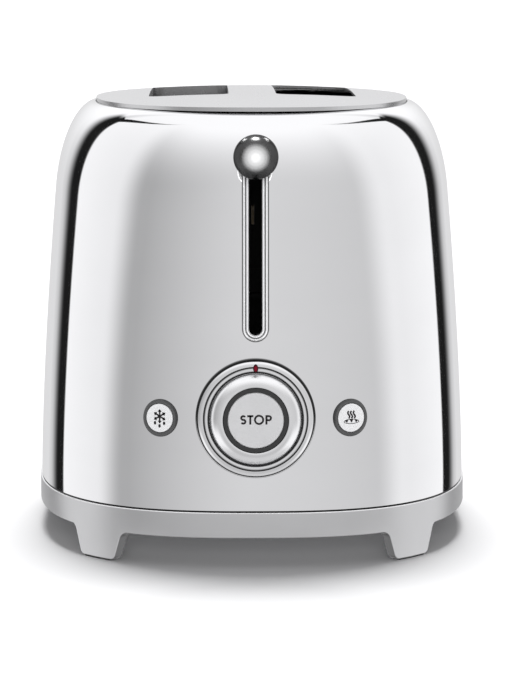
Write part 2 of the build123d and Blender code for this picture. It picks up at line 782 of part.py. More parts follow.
# Rear frame: the same plate with a tunnel for the crumb tray and feet to the rear
with BuildPart() as rear_frame:
    with BuildSketch(facing_front(rear_frame_depth + sheet)):
        with Locations((0, (floor_height + frame_top) / 2)):
            Rectangle(2 * frame_half_width, frame_top - floor_height)
        with Locations(*lift_places):
            SlotOverall(lift_window_height, lift_window, rotation=90, mode=Mode.SUBTRACT)
        with Locations(*guard_pivots):
            Circle(guard_pivot_radius + running_fit, mode=Mode.SUBTRACT)
        with Locations(*heater_tab_places):
            Rectangle(heater_slit_width, heater_slit_height, mode=Mode.SUBTRACT)
        with Locations((0, floor_height)):
            Rectangle(2 * tray_half_width + 4 * tray_clearance,
                      tray_top - floor_height + 3 * tray_clearance,
                      align=(Align.CENTER, Align.MIN), mode=Mode.SUBTRACT)
    extrude(amount=sheet)
    with BuildSketch(level(floor_height)):
        with Locations(*[(x, rear_foot_y) for x in (-foot_screw_x, foot_screw_x)]):
            Rectangle(frame_half_width - frame_foot_inner, frame_foot_depth)
            Circle(screw_radius + screw_clearance, mode=Mode.SUBTRACT)
    extrude(amount=sheet)
rear_frame.part.label = "rear_frame"
export_step(rear_frame.part, "parts/rear_frame.step")

# Reflector on each side, with returns that tie it to both frames
for side, sign in {"left": -1, "right": 1}.items():
    with BuildPart() as reflector:
        with BuildSketch(level(reflector_bottom)):
            with Locations((sign * reflector_offset, frame_middle)):
                Rectangle(reflector_sheet, frame_gap_length)
            with Locations((sign * reflector_offset, -front_frame_depth)):
                Rectangle(reflector_return, reflector_sheet, align=(inward[sign], Align.MIN))
            with Locations((sign * reflector_offset, rear_frame_depth)):
                Rectangle(reflector_return, reflector_sheet, align=(inward[sign], Align.MAX))
        extrude(amount=reflector_top - reflector_bottom)
    reflector.part.label = f"reflector_{side}"
    export_step(reflector.part, f"parts/reflector_{side}.step")

# Three mica cards: notched above and below for the wire, and tabbed into both frames
for side, place in heater_places.items():
    with BuildPart() as heater:
        with BuildSketch(facing_right(place)):
            with Locations((frame_middle, (heater_bottom + heater_top) / 2)):
                Rectangle(frame_gap_length - 2 * heater_end_gap, heater_top - heater_bottom)
                for z in (heater_bottom, heater_top):
                    with Locations((0, z - (heater_bottom + heater_top) / 2)):
                        with GridLocations(winding_pitch, 0, winding_count, 1):
                            Rectangle(winding_width + winding_slack, 2 * notch_depth, mode=Mode.SUBTRACT)
            for z in heater_tab_heights:
                with Locations((frame_middle, z)):
                    Rectangle(frame_gap_length + 2 * sheet + 2 * heater_tab_reach, heater_tab)
        extrude(amount=heater_sheet / 2, both=True)
    heater.part.label = f"heater_card_{side}"
    export_step(heater.part, f"parts/heater_card_{side}.step")

# Flat heating wire wound round the cards, turn by turn
with BuildPart() as heating_wires:
    wound_width = heater_sheet + 2 * winding_gap
    wound_height = heater_top - heater_bottom - 2 * notch_depth + 2 * winding_gap
    for turn in range(winding_count):
        with BuildSketch(facing_front(frame_middle + winding_pitch * (turn - (winding_count - 1) / 2))):
            with Locations(*[(x, (heater_bottom + heater_top) / 2) for x in heater_places.values()]):
                Rectangle(wound_width + 2 * winding_sheet, wound_height + 2 * winding_sheet)
                Rectangle(wound_width, wound_height, mode=Mode.SUBTRACT)
    extrude(amount=winding_width / 2, both=True)
heating_wires.part.label = "heating_wires"
export_step(heating_wires.part, "parts/heating_wires.step")

# Four wire guards, each hinged on its bottom wire in both frames
guard_front = -front_frame_depth + guard_end_gap
guard_rear = rear_frame_depth - guard_end_gap
for side, place in guard_places.items():
    with BuildPart() as guard:
        with BuildSketch(facing_front(rear_frame_depth + sheet)):
            with Locations((place, guard_pivot_height)):
                Circle(guard_pivot_radius)
        extrude(amount=frame_gap_length + 2 * sheet)
        with BuildSketch(facing_front(guard_rear)):
            with Locations((place, guard_middle_height), (place, guard_top)):
                Circle(guard_rail)
        extrude(amount=guard_rear - guard_front)
        with BuildSketch(level(guard_pivot_height)):
            with Locations((place, (guard_front + guard_rear) / 2)):
                wire_pitch = (guard_rear - guard_front - 2 * guard_rail_overhang) / (guard_wire_count - 1)
                with GridLocations(0, wire_pitch, 1, guard_wire_count):
                    Circle(guard_wire)
        extrude(amount=guard_top - guard_pivot_height)
    guard.part.label = f"bread_guard_{side}"
    export_step(guard.part, f"parts/bread_guard_{side}.step")

# Crumb tray with a pull that carries on the base ring's outline at the rear
with BuildPart() as crumb_tray:
    pull_inner = body_half_length - tray_pull_thickness
    tray_length = tray_front + pull_inner
    with BuildSketch(level(tray_bottom)):
        with Locations((0, pull_inner)):
            Rectangle(2 * tray_half_width, tray_length, align=(Align.CENTER, Align.MAX))
    extrude(amount=tray_sheet + tray_wall_height)
    with BuildSketch(level(tray_bottom + tray_sheet)):
        with Locations((0, pull_inner - tray_sheet)):
            Rectangle(2 * tray_half_width - 2 * tray_sheet, tray_length - 2 * tray_sheet,
                      align=(Align.CENTER, Align.MAX))
    extrude(amount=tray_wall_height, mode=Mode.SUBTRACT)
    add(extrude(ring_plan(tray_bottom, tray_pull_thickness), amount=tray_sheet + tray_wall_height,
                mode=Mode.PRIVATE), mode=Mode.INTERSECT)
    pull = extrude(ring_plan(tray_bottom, 0), amount=tray_sheet + tray_wall_height, mode=Mode.PRIVATE)
    pull -= extrude(ring_plan(tray_bottom, tray_pull_thickness), amount=tray_wall_height * 2,
                    mode=Mode.PRIVATE)
    with BuildPart(mode=Mode.PRIVATE) as pull_span:
        with BuildSketch(level(tray_bottom)):
            Rectangle(2 * tray_half_width, body_half_length, align=(Align.CENTER, Align.MIN))
        extrude(amount=tray_wall_height * 2)
    add(pull & pull_span.part)
    with BuildSketch(level(tray_bottom)):
        with Locations((0, body_half_length + tray_grip_radius - tray_grip_depth)):
            Circle(tray_grip_radius)
    extrude(amount=(tray_sheet + tray_wall_height) / 2, mode=Mode.SUBTRACT)
crumb_tray.part.label = "crumb_tray"
export_step(crumb_tray.part, "parts/crumb_tray.step")

# Fixed dial bezel, seated on the wall, with a barrel through it
dial_turn = Axis(dial_face.origin, dial_face.z_dir)
with BuildPart() as dial_bezel:
    with BuildSketch(dial_face):
        Circle(dial_bezel_radius)
    extrude(amount=dial_bezel_front)
    with BuildSketch(dial_face):
        Circle(dial_bezel_radius)
    extrude(amount=-dial_barrel_depth)
    add(wall_seat, mode=Mode.SUBTRACT)
    with BuildSketch(dial_face.offset(dial_bezel_front)):
        Circle(dial_barrel_radius)
    extrude(amount=-dial_bezel_front - dial_barrel_depth)
    with BuildSketch(dial_face.offset(dial_bezel_front)):
        Circle(dial_barrel_radius - dial_barrel_wall)
    extrude(amount=-dial_bezel_front - dial_barrel_depth, mode=Mode.SUBTRACT)
dial_bezel.part.label = "dial_bezel"
export_step(dial_bezel.part, "parts/dial_bezel.step")

# Browning dial: a grooved skirt, a domed face and a hub that turns on the stop sleeve
hub_back = board_depth - control_depth - dial_clearance
with BuildPart() as browning_dial:
    with BuildSketch(turning(dial_face)):
        with BuildLine():
            skirt_bottom = dial_bezel_front + dial_clearance
            edge_top = skirt_bottom + dial_clearance
            outer_rim = (dial_outer_groove + dial_groove_width, dial_skirt_top - dial_clearance)
            Polyline((hub_bore, dial_front - dial_clearance), (hub_bore, -hub_back),
                     (hub_bore + dial_hub_wall, -hub_back), (hub_bore + dial_hub_wall, skirt_bottom),
                     (dial_skirt_radius, skirt_bottom), (dial_skirt_radius, edge_top))
            RadiusArc((dial_skirt_radius, edge_top), outer_rim, -dial_edge_radius)
            Polyline(outer_rim, (outer_rim[0], dial_skirt_top - dial_groove_depth),
                     (dial_outer_groove - dial_groove_width, dial_skirt_top - dial_groove_depth),
                     (dial_outer_groove - dial_groove_width, dial_skirt_top),
                     (dial_inner_groove + dial_groove_width, dial_skirt_top),
                     (dial_inner_groove + dial_groove_width, dial_skirt_top - dial_groove_depth),
                     (dial_inner_groove - dial_groove_width, dial_skirt_top - dial_groove_depth),
                     (dial_inner_groove - dial_groove_width, dial_skirt_top))
            RadiusArc((dial_inner_groove - dial_groove_width, dial_skirt_top),
                      (dial_crown_radius, dial_front), -dial_dome_radius)
            Line((dial_crown_radius, dial_front), (hub_bore, dial_front - dial_clearance))
        make_face()
    revolve(axis=dial_turn)
    with BuildSketch(dial_face.offset(dial_front)):
        with Locations((0, pointer_middle)):
            Ellipse(pointer_width / 2 + trim_gap / 2, pointer_length / 2 + trim_gap / 2)
    extrude(amount=dial_skirt_top - dial_front - pointer_depth, mode=Mode.SUBTRACT)
browning_dial.part.label = "browning_dial"
export_step(browning_dial.part, "parts/browning_dial.step")

# Oval pointer let into the dial's skirt
with BuildPart() as dial_pointer:
    with BuildSketch(dial_face.offset(dial_skirt_top - pointer_depth)):
        with Locations((0, pointer_middle)):
            Ellipse(pointer_width / 2, pointer_length / 2)
    extrude(amount=pointer_depth + pointer_stand)
dial_pointer.part.label = "dial_pointer"
export_step(dial_pointer.part, "parts/dial_pointer.step")

# Fixed sleeve round the stop button: the dial turns on it and the button slides in it
with BuildPart() as stop_sleeve:
    with BuildSketch(dial_face.offset(-board_depth)):
        Circle(hub_bore - running_fit)
        Circle(stop_button_radius + running_fit, mode=Mode.SUBTRACT)
    extrude(amount=board_depth + dial_front - dial_clearance)
stop_sleeve.part.label = "stop_sleeve"
export_step(stop_sleeve.part, "parts/stop_sleeve.step")

# Stop button with its stem
stop_front = dial_front - dial_clearance - trim_gap
stop_plunger = board_depth - switch_depth - plunger_height
with BuildPart() as stop_button:
    with BuildSketch(dial_face.offset(stop_front - stop_button_thickness)):
        Circle(stop_button_radius)
    extrude(amount=stop_button_thickness)
    chamfer(stop_button.edges().group_by(Axis.Y)[0], dial_clearance)
    with BuildSketch(dial_face.offset(stop_front - stop_button_thickness)):
        Circle(button_stem_radius)
    extrude(amount=-(stop_front - stop_button_thickness + stop_plunger - stop_travel - plunger_clearance))
stop_button.part.label = "stop_button"
export_step(stop_button.part, "parts/stop_button.step")

# Switch on the board under the stop button
with BuildPart() as stop_switch:
    with BuildSketch(dial_face.offset(-board_depth)):
        RectangleRounded(switch_size, switch_size, switch_corner)
    extrude(amount=switch_depth)
    with BuildSketch(dial_face.offset(-board_depth + switch_depth)):
        Circle(plunger_radius)
    extrude(amount=plunger_height)
stop_switch.part.label = "stop_switch"
export_step(stop_switch.part, "parts/stop_switch.step")

# Browning control: a ring-shaped rotary control on the board behind the dial's hub
with BuildPart() as browning_control:
    with BuildSketch(dial_face.offset(-board_depth)):
        Circle(control_radius)
        Circle(hub_bore + dial_clearance, mode=Mode.SUBTRACT)
    extrude(amount=control_depth)
browning_control.part.label = "browning_control"
export_step(browning_control.part, "parts/browning_control.step")

# Control board, with four holes for its screws
board_middle = (board_bottom + board_top) / 2 - dial_height
board_rows = (board_middle - board_hole_z, board_middle + board_hole_z)
board_holes = [(x, z) for x in (-board_hole_x, board_hole_x) for z in board_rows]
with BuildPart() as control_board:
    with BuildSketch(dial_face.offset(-board_depth - board_thickness)):
        with Locations((0, board_middle)):
            RectangleRounded(2 * board_half_width, board_top - board_bottom, board_corner)
        with Locations(*board_holes):
            Circle(screw_radius + screw_clearance, mode=Mode.SUBTRACT)
    extrude(amount=board_thickness)
control_board.part.label = "control_board"
export_step(control_board.part, "parts/control_board.step")

# Bracket that carries the board on four spacers, with a foot on the bottom plate
bracket_face = dial_face.offset(-board_depth - board_thickness - board_spacer)
with BuildPart() as board_bracket:
    with BuildSketch(bracket_face):
        with Locations((0, floor_height - dial_height)):
            Rectangle(2 * bracket_half_width, board_top - floor_height, align=(Align.CENTER, Align.MIN))
        with Locations((0, board_middle)):
            RectangleRounded(bracket_window, bracket_window, bracket_window_corner, mode=Mode.SUBTRACT)
    extrude(amount=-bracket_sheet)
    with BuildSketch(bracket_face):
        with Locations(*board_holes):
            Circle(spacer_radius)
    extrude(amount=board_spacer)
    with BuildSketch(bracket_face.offset(-bracket_sheet)):
        with Locations(*board_holes):
            Circle(screw_radius + screw_clearance)
    extrude(amount=bracket_sheet + board_spacer, mode=Mode.SUBTRACT)
    with BuildSketch(bracket_face):
        with Locations((0, floor_height - dial_height)):
            Rectangle(2 * bracket_half_width, bracket_sheet, align=(Align.CENTER, Align.MIN))
    extrude(amount=-bracket_foot)
board_bracket.part.label = "board_bracket"
export_step(board_bracket.part, "parts/board_bracket.step")

# Push buttons beside the dial: ring and barrel, sliding button, and a switch behind
for name, place in button_places.items():
    face = wall_face(place, button_height)
    bore = button_radius + running_fit
    with BuildPart() as button_ring:
        with BuildSketch(face):
            Circle(button_ring_radius)
        extrude(amount=button_ring_front)
        with BuildSketch(face):
            Circle(button_ring_radius)
        extrude(amount=-shell_wall)
        add(wall_seat, mode=Mode.SUBTRACT)
        with BuildSketch(face.offset(button_ring_front)):
            Circle(bore + button_barrel_wall)
        extrude(amount=-button_ring_front - button_barrel_depth)
        with BuildSketch(face.offset(button_ring_front)):
            Circle(bore)
        extrude(amount=-button_ring_front - button_barrel_depth, mode=Mode.SUBTRACT)
    button_ring.part.label = f"{name}_button_ring"
    export_step(button_ring.part, f"parts/{name}_button_ring.step")

    with BuildPart() as push_button:
        with BuildSketch(face.offset(button_front - button_thickness)):
            Circle(button_radius)
        extrude(amount=button_thickness)
        with BuildSketch(face.offset(button_front - button_thickness)):
            Circle(button_stem_radius)
        stem_length = button_barrel_depth - plunger_height - button_travel - plunger_clearance
        extrude(amount=-(stem_length + button_front - button_thickness))
    push_button.part.label = f"{name}_button"
    export_step(push_button.part, f"parts/{name}_button.step")

    with BuildPart() as push_switch:
        with BuildSketch(face.offset(-button_barrel_depth - switch_depth)):
            RectangleRounded(side_switch_size, side_switch_size, switch_corner)
        extrude(amount=switch_depth)
        with BuildSketch(face.offset(-button_barrel_depth)):
            Circle(plunger_radius)
        extrude(amount=plunger_height)
    push_switch.part.label = f"{name}_switch"
    export_step(push_switch.part, f"parts/{name}_switch.step")

# Latch magnet under the carriage's armature: a yoke, a core and its coil
magnet_top = carriage_bottom - lever_travel - magnet_gap
magnet_middle = carriage_front - lug_reach / 2
with BuildPart() as latch_magnet:
    with BuildSketch(facing_front(magnet_middle + magnet_depth / 2)):
        with Locations((0, floor_height)):
            Rectangle(magnet_width, magnet_top - floor_height, align=(Align.CENTER, Align.MIN))
        with Locations((0, floor_height + magnet_sheet)):
            Rectangle(magnet_width - 2 * magnet_sheet, magnet_top - floor_height,
                      align=(Align.CENTER, Align.MIN), mode=Mode.SUBTRACT)
    extrude(amount=magnet_depth)
    with BuildSketch(level(floor_height + magnet_sheet)):
        with Locations((0, magnet_middle)):
            Circle(coil_radius)
    extrude(amount=magnet_top - floor_height - 2 * magnet_sheet)
    with BuildSketch(level(floor_height + magnet_sheet)):
        with Locations((0, magnet_middle)):
            Circle(coil_radius / 2)
    extrude(amount=magnet_top - floor_height - magnet_sheet)
latch_magnet.part.label = "latch_magnet"
export_step(latch_magnet.part, "parts/latch_magnet.step")

# Return spring between the carriage's lug and the bridge
with BuildPart() as return_spring:
    spring_bottom = lug_height + spring_gap + spring_wire / 2
    spring_length = bridge_bottom - spring_gap - spring_wire / 2 - spring_bottom
    coil = Helix(pitch=spring_length / spring_turns, height=spring_length, radius=spring_radius,
                 center=(lug_offset, mid_y + magnet_middle, spring_bottom))
    with BuildSketch(Plane(origin=coil @ 0, z_dir=coil % 0)):
        Rectangle(spring_wire, spring_wire)
    sweep(path=coil, is_frenet=True)
return_spring.part.label = "return_spring"
export_step(return_spring.part, "parts/return_spring.step")

# Terminal block for the supply, on the rear frame
with BuildPart() as terminal_block:
    width, depth, height = terminal_size
    with BuildSketch(facing_front(rear_frame_depth + sheet + depth)):
        with Locations((0, terminal_height)):
            RectangleRounded(width, height, terminal_corner)
    extrude(amount=depth)
    with BuildSketch(facing_front(rear_frame_depth + sheet + depth)):
        with Locations((0, terminal_height)):
            with GridLocations(width / 3, 0, 3, 1):
                Circle(terminal_screw_radius)
    extrude(amount=depth / 2, mode=Mode.SUBTRACT)
terminal_block.part.label = "terminal_block"
export_step(terminal_block.part, "parts/terminal_block.step")

# Screws under the base ring
with BuildPart() as base_screws:
    with BuildSketch(level(ring_bottom)):
        with Locations(*bottom_screw_places):
            Circle(screw_head_radius)
    extrude(amount=screw_head_height)
    with BuildSketch(level(ring_bottom)):
        with Locations(*bottom_screw_places):
            Circle(screw_radius)
    extrude(amount=flange_thickness + bottom_sheet + screw_tip)
base_screws.part.label = "base_screws"
export_step(base_screws.part, "parts/base_screws.step")

# Screws that hold the frames' feet to the bottom plate
with BuildPart() as frame_screws:
    with BuildSketch(level(floor_height + sheet)):
        with Locations(*foot_screw_places):
            Circle(screw_head_radius)
    extrude(amount=screw_head_height)
    with BuildSketch(level(floor_height + sheet)):
        with Locations(*foot_screw_places):
            Circle(screw_radius)
    extrude(amount=-sheet - bottom_sheet - flange_thickness / 2)
frame_screws.part.label = "frame_screws"
export_step(frame_screws.part, "parts/frame_screws.step")

# Screws that hold the board to its bracket
with BuildPart() as board_screws:
    with BuildSketch(dial_face.offset(-board_depth)):
        with Locations(*board_holes):
            Circle(screw_head_radius)
    extrude(amount=screw_head_height)
    with BuildSketch(dial_face.offset(-board_depth)):
        with Locations(*board_holes):
            Circle(screw_radius)
    extrude(amount=-board_thickness - board_spacer - bracket_sheet)
board_screws.part.label = "board_screws"
export_step(board_screws.part, "parts/board_screws.step")
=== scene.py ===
import json
from bisect import bisect
from math import cos, hypot, pi, radians, sin, sqrt, tan

import bmesh
import bpy
from mathutils import Matrix, Vector


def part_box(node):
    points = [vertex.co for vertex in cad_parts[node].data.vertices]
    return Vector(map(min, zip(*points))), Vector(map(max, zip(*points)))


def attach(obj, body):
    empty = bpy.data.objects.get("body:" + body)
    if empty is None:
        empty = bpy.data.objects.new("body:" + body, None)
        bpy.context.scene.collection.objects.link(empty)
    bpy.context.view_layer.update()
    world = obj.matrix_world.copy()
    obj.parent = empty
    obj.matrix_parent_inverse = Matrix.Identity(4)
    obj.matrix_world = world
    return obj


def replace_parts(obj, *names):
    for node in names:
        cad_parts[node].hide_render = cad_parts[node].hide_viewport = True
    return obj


# Looks of the two-slice toaster. Metres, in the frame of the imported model: +Z up, the lever end faces -Y.
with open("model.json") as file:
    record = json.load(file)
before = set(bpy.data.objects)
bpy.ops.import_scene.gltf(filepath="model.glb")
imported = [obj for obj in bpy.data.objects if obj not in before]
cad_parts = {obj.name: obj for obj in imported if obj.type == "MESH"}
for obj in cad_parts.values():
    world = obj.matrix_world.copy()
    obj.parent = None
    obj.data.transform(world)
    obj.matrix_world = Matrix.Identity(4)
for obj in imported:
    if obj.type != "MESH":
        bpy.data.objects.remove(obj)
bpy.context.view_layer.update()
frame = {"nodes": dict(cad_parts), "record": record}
nodes = frame["nodes"]

# Body: the same rounded oblong and side profile as the solid
body_half_width = 0.0975
body_half_length = 0.155
base_squareness = 2.65
top_squareness = 2.2
shell_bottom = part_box("outer_shell")[0].z
shell_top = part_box("outer_shell")[1].z
shell_step = 0.0006
wall_lean = 0.010
lean_power = 1.5
shoulder_start = 0.155
shoulder_depth = 0.015
shell_wall = 0.001
body_middle = (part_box("base_ring")[0].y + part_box("base_ring")[1].y) / 2

# Base ring as the photograph shows it: a little less tall than the solid, with steeper sides to its legs
ring_top = 0.0239
ring_bottom = 0.0129
skin_bottom = 0.0246
foot_top = 0.0005
leg_offset = 0.0676
leg_outline = ((-0.0140, ring_bottom), (-0.0096, foot_top), (0.0130, foot_top), (0.0188, ring_bottom))
leg_roots = 0.0045
leg_corners = 0.0028
flange_top = 0.0150
tray_gap_low = 0.0160
tray_gap_high = 0.0223
tray_gap_half = 0.0506

# Base ring's section: depths in from the body's outline, and the roundings of its edges
ring_wall = 0.0030
flange_inset = 0.0080
leg_inset = 0.0050
flange_root = 0.0051
leg_chamfer = 0.0004
# lower_shade: painted shade on the legs' flanks and the ring's underside
lower_shade = 0.80
# upper_round lists inset, drop under ring_top and shade: below 0 a painted highlight along the top edge, and
# 1 painted shade in the gap under the shell
upper_round = ((0.0, 0.0005, 0.0), (0.00012, 0.00018, -1.0), (0.00035, 0.00002, -1.0), (0.0006, 0.0, -0.6),
               (0.0009, 0.0, 1.0))
pad_outer_inset = 0.0004
pad_inner_inset = 0.0046
pad_start = -0.0072
pad_length = 0.0178
pad_columns = 16
band_step = 0.002

# Shell's mesh, and its holes a little under the edges of their trims
skin_step = 0.0016
skin_rings = 110
skin_gathering = 1.1
slot_hole_radius = 0.0043
slot_low = 0.10225
slot_high = 0.1761
dial_height = 0.0643
dial_hole_radius = 0.0215
button_offset = 0.0405
button_height = 0.0637
button_hole_radius = 0.0068

# Marks on the buttons
stop_front = 0.0080
button_front = 0.0007
ink_thickness = 0.00005

# Camera, fitted to the photograph's outline
frame_width = 516
frame_height = 688
camera_place = Vector((-0.0200, -1.6066, 0.2570))
camera_down = 0.110
camera_left = 0.0125
focal_pixels = 3477
sensor_size = 0.036
axis_column = 251.5
horizon_row = 344.9


# Body form

def rise(z):
    """Share of the solid shell's height at z, from 0 at its bottom edge to 1 at its top."""
    return min(1.0, max(0.0, (z - shell_bottom) / (shell_top - shell_bottom)))


def wall_inset(z):
    """How far in from the base ring's outline the wall lies at height z."""
    turn = min(1.0, max(0.0, (z - shoulder_start) / (shell_top - shoulder_start)))
    return shell_step + wall_lean * rise(z) ** lean_power + shoulder_depth * (1 - sqrt(1 - turn * turn))


def wall_squareness(z):
    return base_squareness + (top_squareness - base_squareness) * rise(z) ** 2


def oblong_point(angle, z, inset, squareness):
    """Point of the rounded oblong at a turn about the body's middle."""
    reach = (abs(cos(angle)) ** squareness + abs(sin(angle)) ** squareness) ** (-1 / squareness)
    x = (body_half_width - inset) * reach * cos(angle)
    y = (body_half_length - inset) * reach * sin(angle)
    return Vector((x, body_middle + y, z))


def wall_point(angle, z):
    return oblong_point(angle, z, wall_inset(z), wall_squareness(z))


def wall_depth(x, z):
    """How far the front wall stands before the body's middle at x and z."""
    inset = wall_inset(z)
    power = wall_squareness(z)
    share = (1 - (abs(x) / (body_half_width - inset)) ** power) ** (1 / power)
    return (body_half_length - inset) * share


def wall_frame(x, z):
    """Place on the front wall: its x runs right, its y up and its z outward, square to the plan there."""
    inset = wall_inset(z)
    power = wall_squareness(z)
    half_width, half_length = body_half_width - inset, body_half_length - inset
    depth = wall_depth(x, z)
    side = 1 if x > 0 else -1
    across = side * (abs(x) / half_width) ** (power - 1) / half_width
    along = -((depth / half_length) ** (power - 1)) / half_length
    outward = Vector((across, along, 0)).normalized()
    right = Vector((0, 0, 1)).cross(outward)
    turn = Matrix((right, Vector((0, 0, 1)), outward)).transposed().to_4x4()
    return Matrix.Translation((x, body_middle - depth, z)) @ turn


# Meshes

def mesh_piece(name, points, faces, material, body, smooth_angle=30, shades=None):
    """Mesh object that rides on a body, shaded smooth apart from edges sharper than smooth_angle.

    A closed mesh may also carry a shade at each of its points, which darkens its colour there: painted shade
    on most pieces, and on the base ring a painted highlight where it is below 0."""
    mesh = bpy.data.meshes.new(name)
    mesh.from_pydata([tuple(p) for p in points], [], faces)
    if shades:
        turned_out = bmesh.new()
        turned_out.from_mesh(mesh)
        bmesh.ops.recalc_face_normals(turned_out, faces=turned_out.faces)
        turned_out.to_mesh(mesh)
        turned_out.free()
        layer = mesh.attributes.new("shade", "FLOAT", "POINT")
        layer.data.foreach_set("value", shades)
    for polygon in mesh.polygons:
        polygon.use_smooth = True
    mesh.set_sharp_from_angle(angle=radians(smooth_angle))
    piece = bpy.data.objects.new(name, mesh)
    bpy.context.scene.collection.objects.link(piece)
    mesh.materials.append(material)
    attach(piece, body)
    return piece


def outline_lengths(fine=4096):
    """Way along the base outline to each of its points, at even turns about the body's middle."""
    places = [oblong_point(2 * pi * i / fine, 0, 0, base_squareness) for i in range(fine + 1)]
    lengths = [0.0]
    for before, after in zip(places, places[1:]):
        lengths.append(lengths[-1] + (after - before).length)
    return places, lengths


def turn_at(way):
    """Turn about the body at a way along the base outline."""
    i = min(len(outline_ways) - 2, max(0, bisect(outline_ways, way) - 1))
    share = (way - outline_ways[i]) / (outline_ways[i + 1] - outline_ways[i])
    return 2 * pi * (i + share) / (len(outline_ways) - 1)


def way_of(x, side):
    """Way along the base outline to its point at x on the front (side -1) or the rear (side 1)."""
    middle = oblong_point(pi / 2, 0, 0, base_squareness).y - body_half_length
    on_side = [i for i, place in enumerate(outline_places) if side * (place.y - middle) > 0]
    return outline_ways[min(on_side, key=lambda i: abs(outline_places[i].x - x))]


def skin_heights():
    """Heights of the shell's rings, closer together round the shoulder."""
    turns = [pi / 2 * i / skin_rings for i in range(skin_rings + 1)]
    return [skin_bottom + (shell_top - skin_bottom) * sin(turn) ** skin_gathering for turn in turns]


def nearest_hole(point):
    """Middle and radius of the hole nearest to a point of the front wall, for the slot, dial or a button."""
    slot_place = min(slot_high, max(slot_low, point.z))
    holes = [(0.0, slot_place, slot_hole_radius), (0.0, dial_height, dial_hole_radius)]
    holes += [(side * button_offset, button_height, button_hole_radius) for side in (-1, 1)]
    return min(holes, key=lambda hole: hypot(point.x - hole[0], point.z - hole[1]) - hole[2])


def in_hole(point):
    x, z, radius = nearest_hole(point)
    return point.y < body_middle and hypot(point.x - x, point.z - z) < radius


def to_hole_edge(point):
    """Point of the front wall moved along it to the edge of its hole."""
    x, z, radius = nearest_hole(point)
    reach = radius / hypot(point.x - x, point.z - z)
    across, up = x + (point.x - x) * reach, z + (point.z - z) * reach
    return Vector((across, body_middle - wall_depth(across, up), up))


# Materials. Grain is noise, whose values lie for the most part between these two

grain_low = 0.3
grain_high = 0.7


def new_material(name, colour, metallic, roughness):
    """Material with its node tree and its surface shader."""
    look = bpy.data.materials.new(name)
    look.use_nodes = True
    surface = look.node_tree.nodes["Principled BSDF"]
    surface.inputs["Base Color"].default_value = (*colour, 1)
    surface.inputs["Metallic"].default_value = metallic
    surface.inputs["Roughness"].default_value = roughness
    return look, look.node_tree, surface


def add_node(tree, kind, links=(), **settings):
    """Node of a kind, with its properties set and its inputs linked or given a value."""
    node = tree.nodes.new(kind)
    for key, value in settings.items():
        setattr(node, key, value)
    for key, source in dict(links).items():
        if isinstance(source, bpy.types.NodeSocket):
            tree.links.new(source, node.inputs[key])
        else:
            node.inputs[key].default_value = source
    return node


def grain(tree, scale, stretch=(1, 1, 1), detail=4.0):
    """Noise over the piece's own coordinates, scale features to the metre, drawn out by stretch."""
    place = add_node(tree, "ShaderNodeTexCoord")
    laid = add_node(tree, "ShaderNodeMapping", {"Vector": place.outputs["Object"], "Scale": stretch})
    noise = add_node(tree, "ShaderNodeTexNoise",
                     {"Vector": laid.outputs["Vector"], "Scale": scale, "Detail": detail})
    return noise.outputs["Fac"]


def spread(tree, value, low, high, start=grain_low, end=grain_high):
    """The value from start to end, laid out between low and high."""
    mapped = add_node(tree, "ShaderNodeMapRange",
                      {"Value": value, "From Min": start, "From Max": end, "To Min": low, "To Max": high})
    return mapped.outputs["Result"]


def tint(tree, value, dark, light):
    """Colour between two tones."""
    ramp = add_node(tree, "ShaderNodeValToRGB", {"Fac": value})
    ramp.color_ramp.elements[0].position = grain_low
    ramp.color_ramp.elements[0].color = (*dark, 1)
    ramp.color_ramp.elements[1].position = grain_high
    ramp.color_ramp.elements[1].color = (*light, 1)
    return ramp.outputs["Color"]


def relief(tree, surface, height, depth, strength=1.0):
    """Bump of a real depth, in metres."""
    bump = add_node(tree, "ShaderNodeBump", {"Height": height, "Distance": depth, "Strength": strength})
    tree.links.new(bump.outputs["Normal"], surface.inputs["Normal"])


def grey(level):
    return (level, level, level * 1.01)


def darkened(tree, colour, tone=0.02):
    """The colour, darkened where the mesh's shade attribute is above 0: painted shade, which on the stop
    sleeve only deepens its own tone.
    """
    shade = add_node(tree, "ShaderNodeAttribute", attribute_name="shade")
    mixed = add_node(tree, "ShaderNodeMix", {0: shade.outputs["Fac"], 6: colour, 7: (*grey(tone), 1)},
                     data_type="RGBA")
    return mixed.outputs[2]


def worn_metal(name, level, roughness, scale, stretch=(1, 1, 1), depth=0.000002, variation=0.04, metallic=1.0,
               uneven=0.2):
    """Metal whose gloss and surface vary with one grain, such as a brushing, and its tone with another;
    darkened by painted shade where the mesh carries a shade attribute.
    """
    look, tree, surface = new_material(name, grey(level), metallic, roughness)
    fine = grain(tree, scale, stretch)
    broad = grain(tree, scale / 40, (1, 1, 1), 2.0)
    tone = tint(tree, broad, grey(level * (1 - variation)), grey(min(1, level * (1 + variation))))
    tree.links.new(darkened(tree, tone), surface.inputs["Base Color"])
    tree.links.new(spread(tree, fine, roughness * (1 - uneven), roughness * (1 + uneven)),
                   surface.inputs["Roughness"])
    relief(tree, surface, fine, depth)
    return look


def moulded_plastic(name, colour, roughness, scale=3000, depth=0.00001, variation=0.15):
    """Plastic with the fine even grain of its mould, a little uneven in gloss, and darkened where the mesh
    carries a shade attribute: painted shade on the button rings, the sleeve's own tone on the stop sleeve.
    """
    look, tree, surface = new_material(name, colour, 0, roughness)
    fine = grain(tree, scale)
    broad = grain(tree, 60)
    dark = tuple((1 - variation) * c for c in colour)
    light = tuple(min(1, (1 + variation) * c) for c in colour)
    tree.links.new(darkened(tree, tint(tree, broad, dark, light)), surface.inputs["Base Color"])
    tree.links.new(spread(tree, broad, roughness * (1 - variation), roughness * (1 + variation)),
                   surface.inputs["Roughness"])
    relief(tree, surface, fine, depth)
    return look


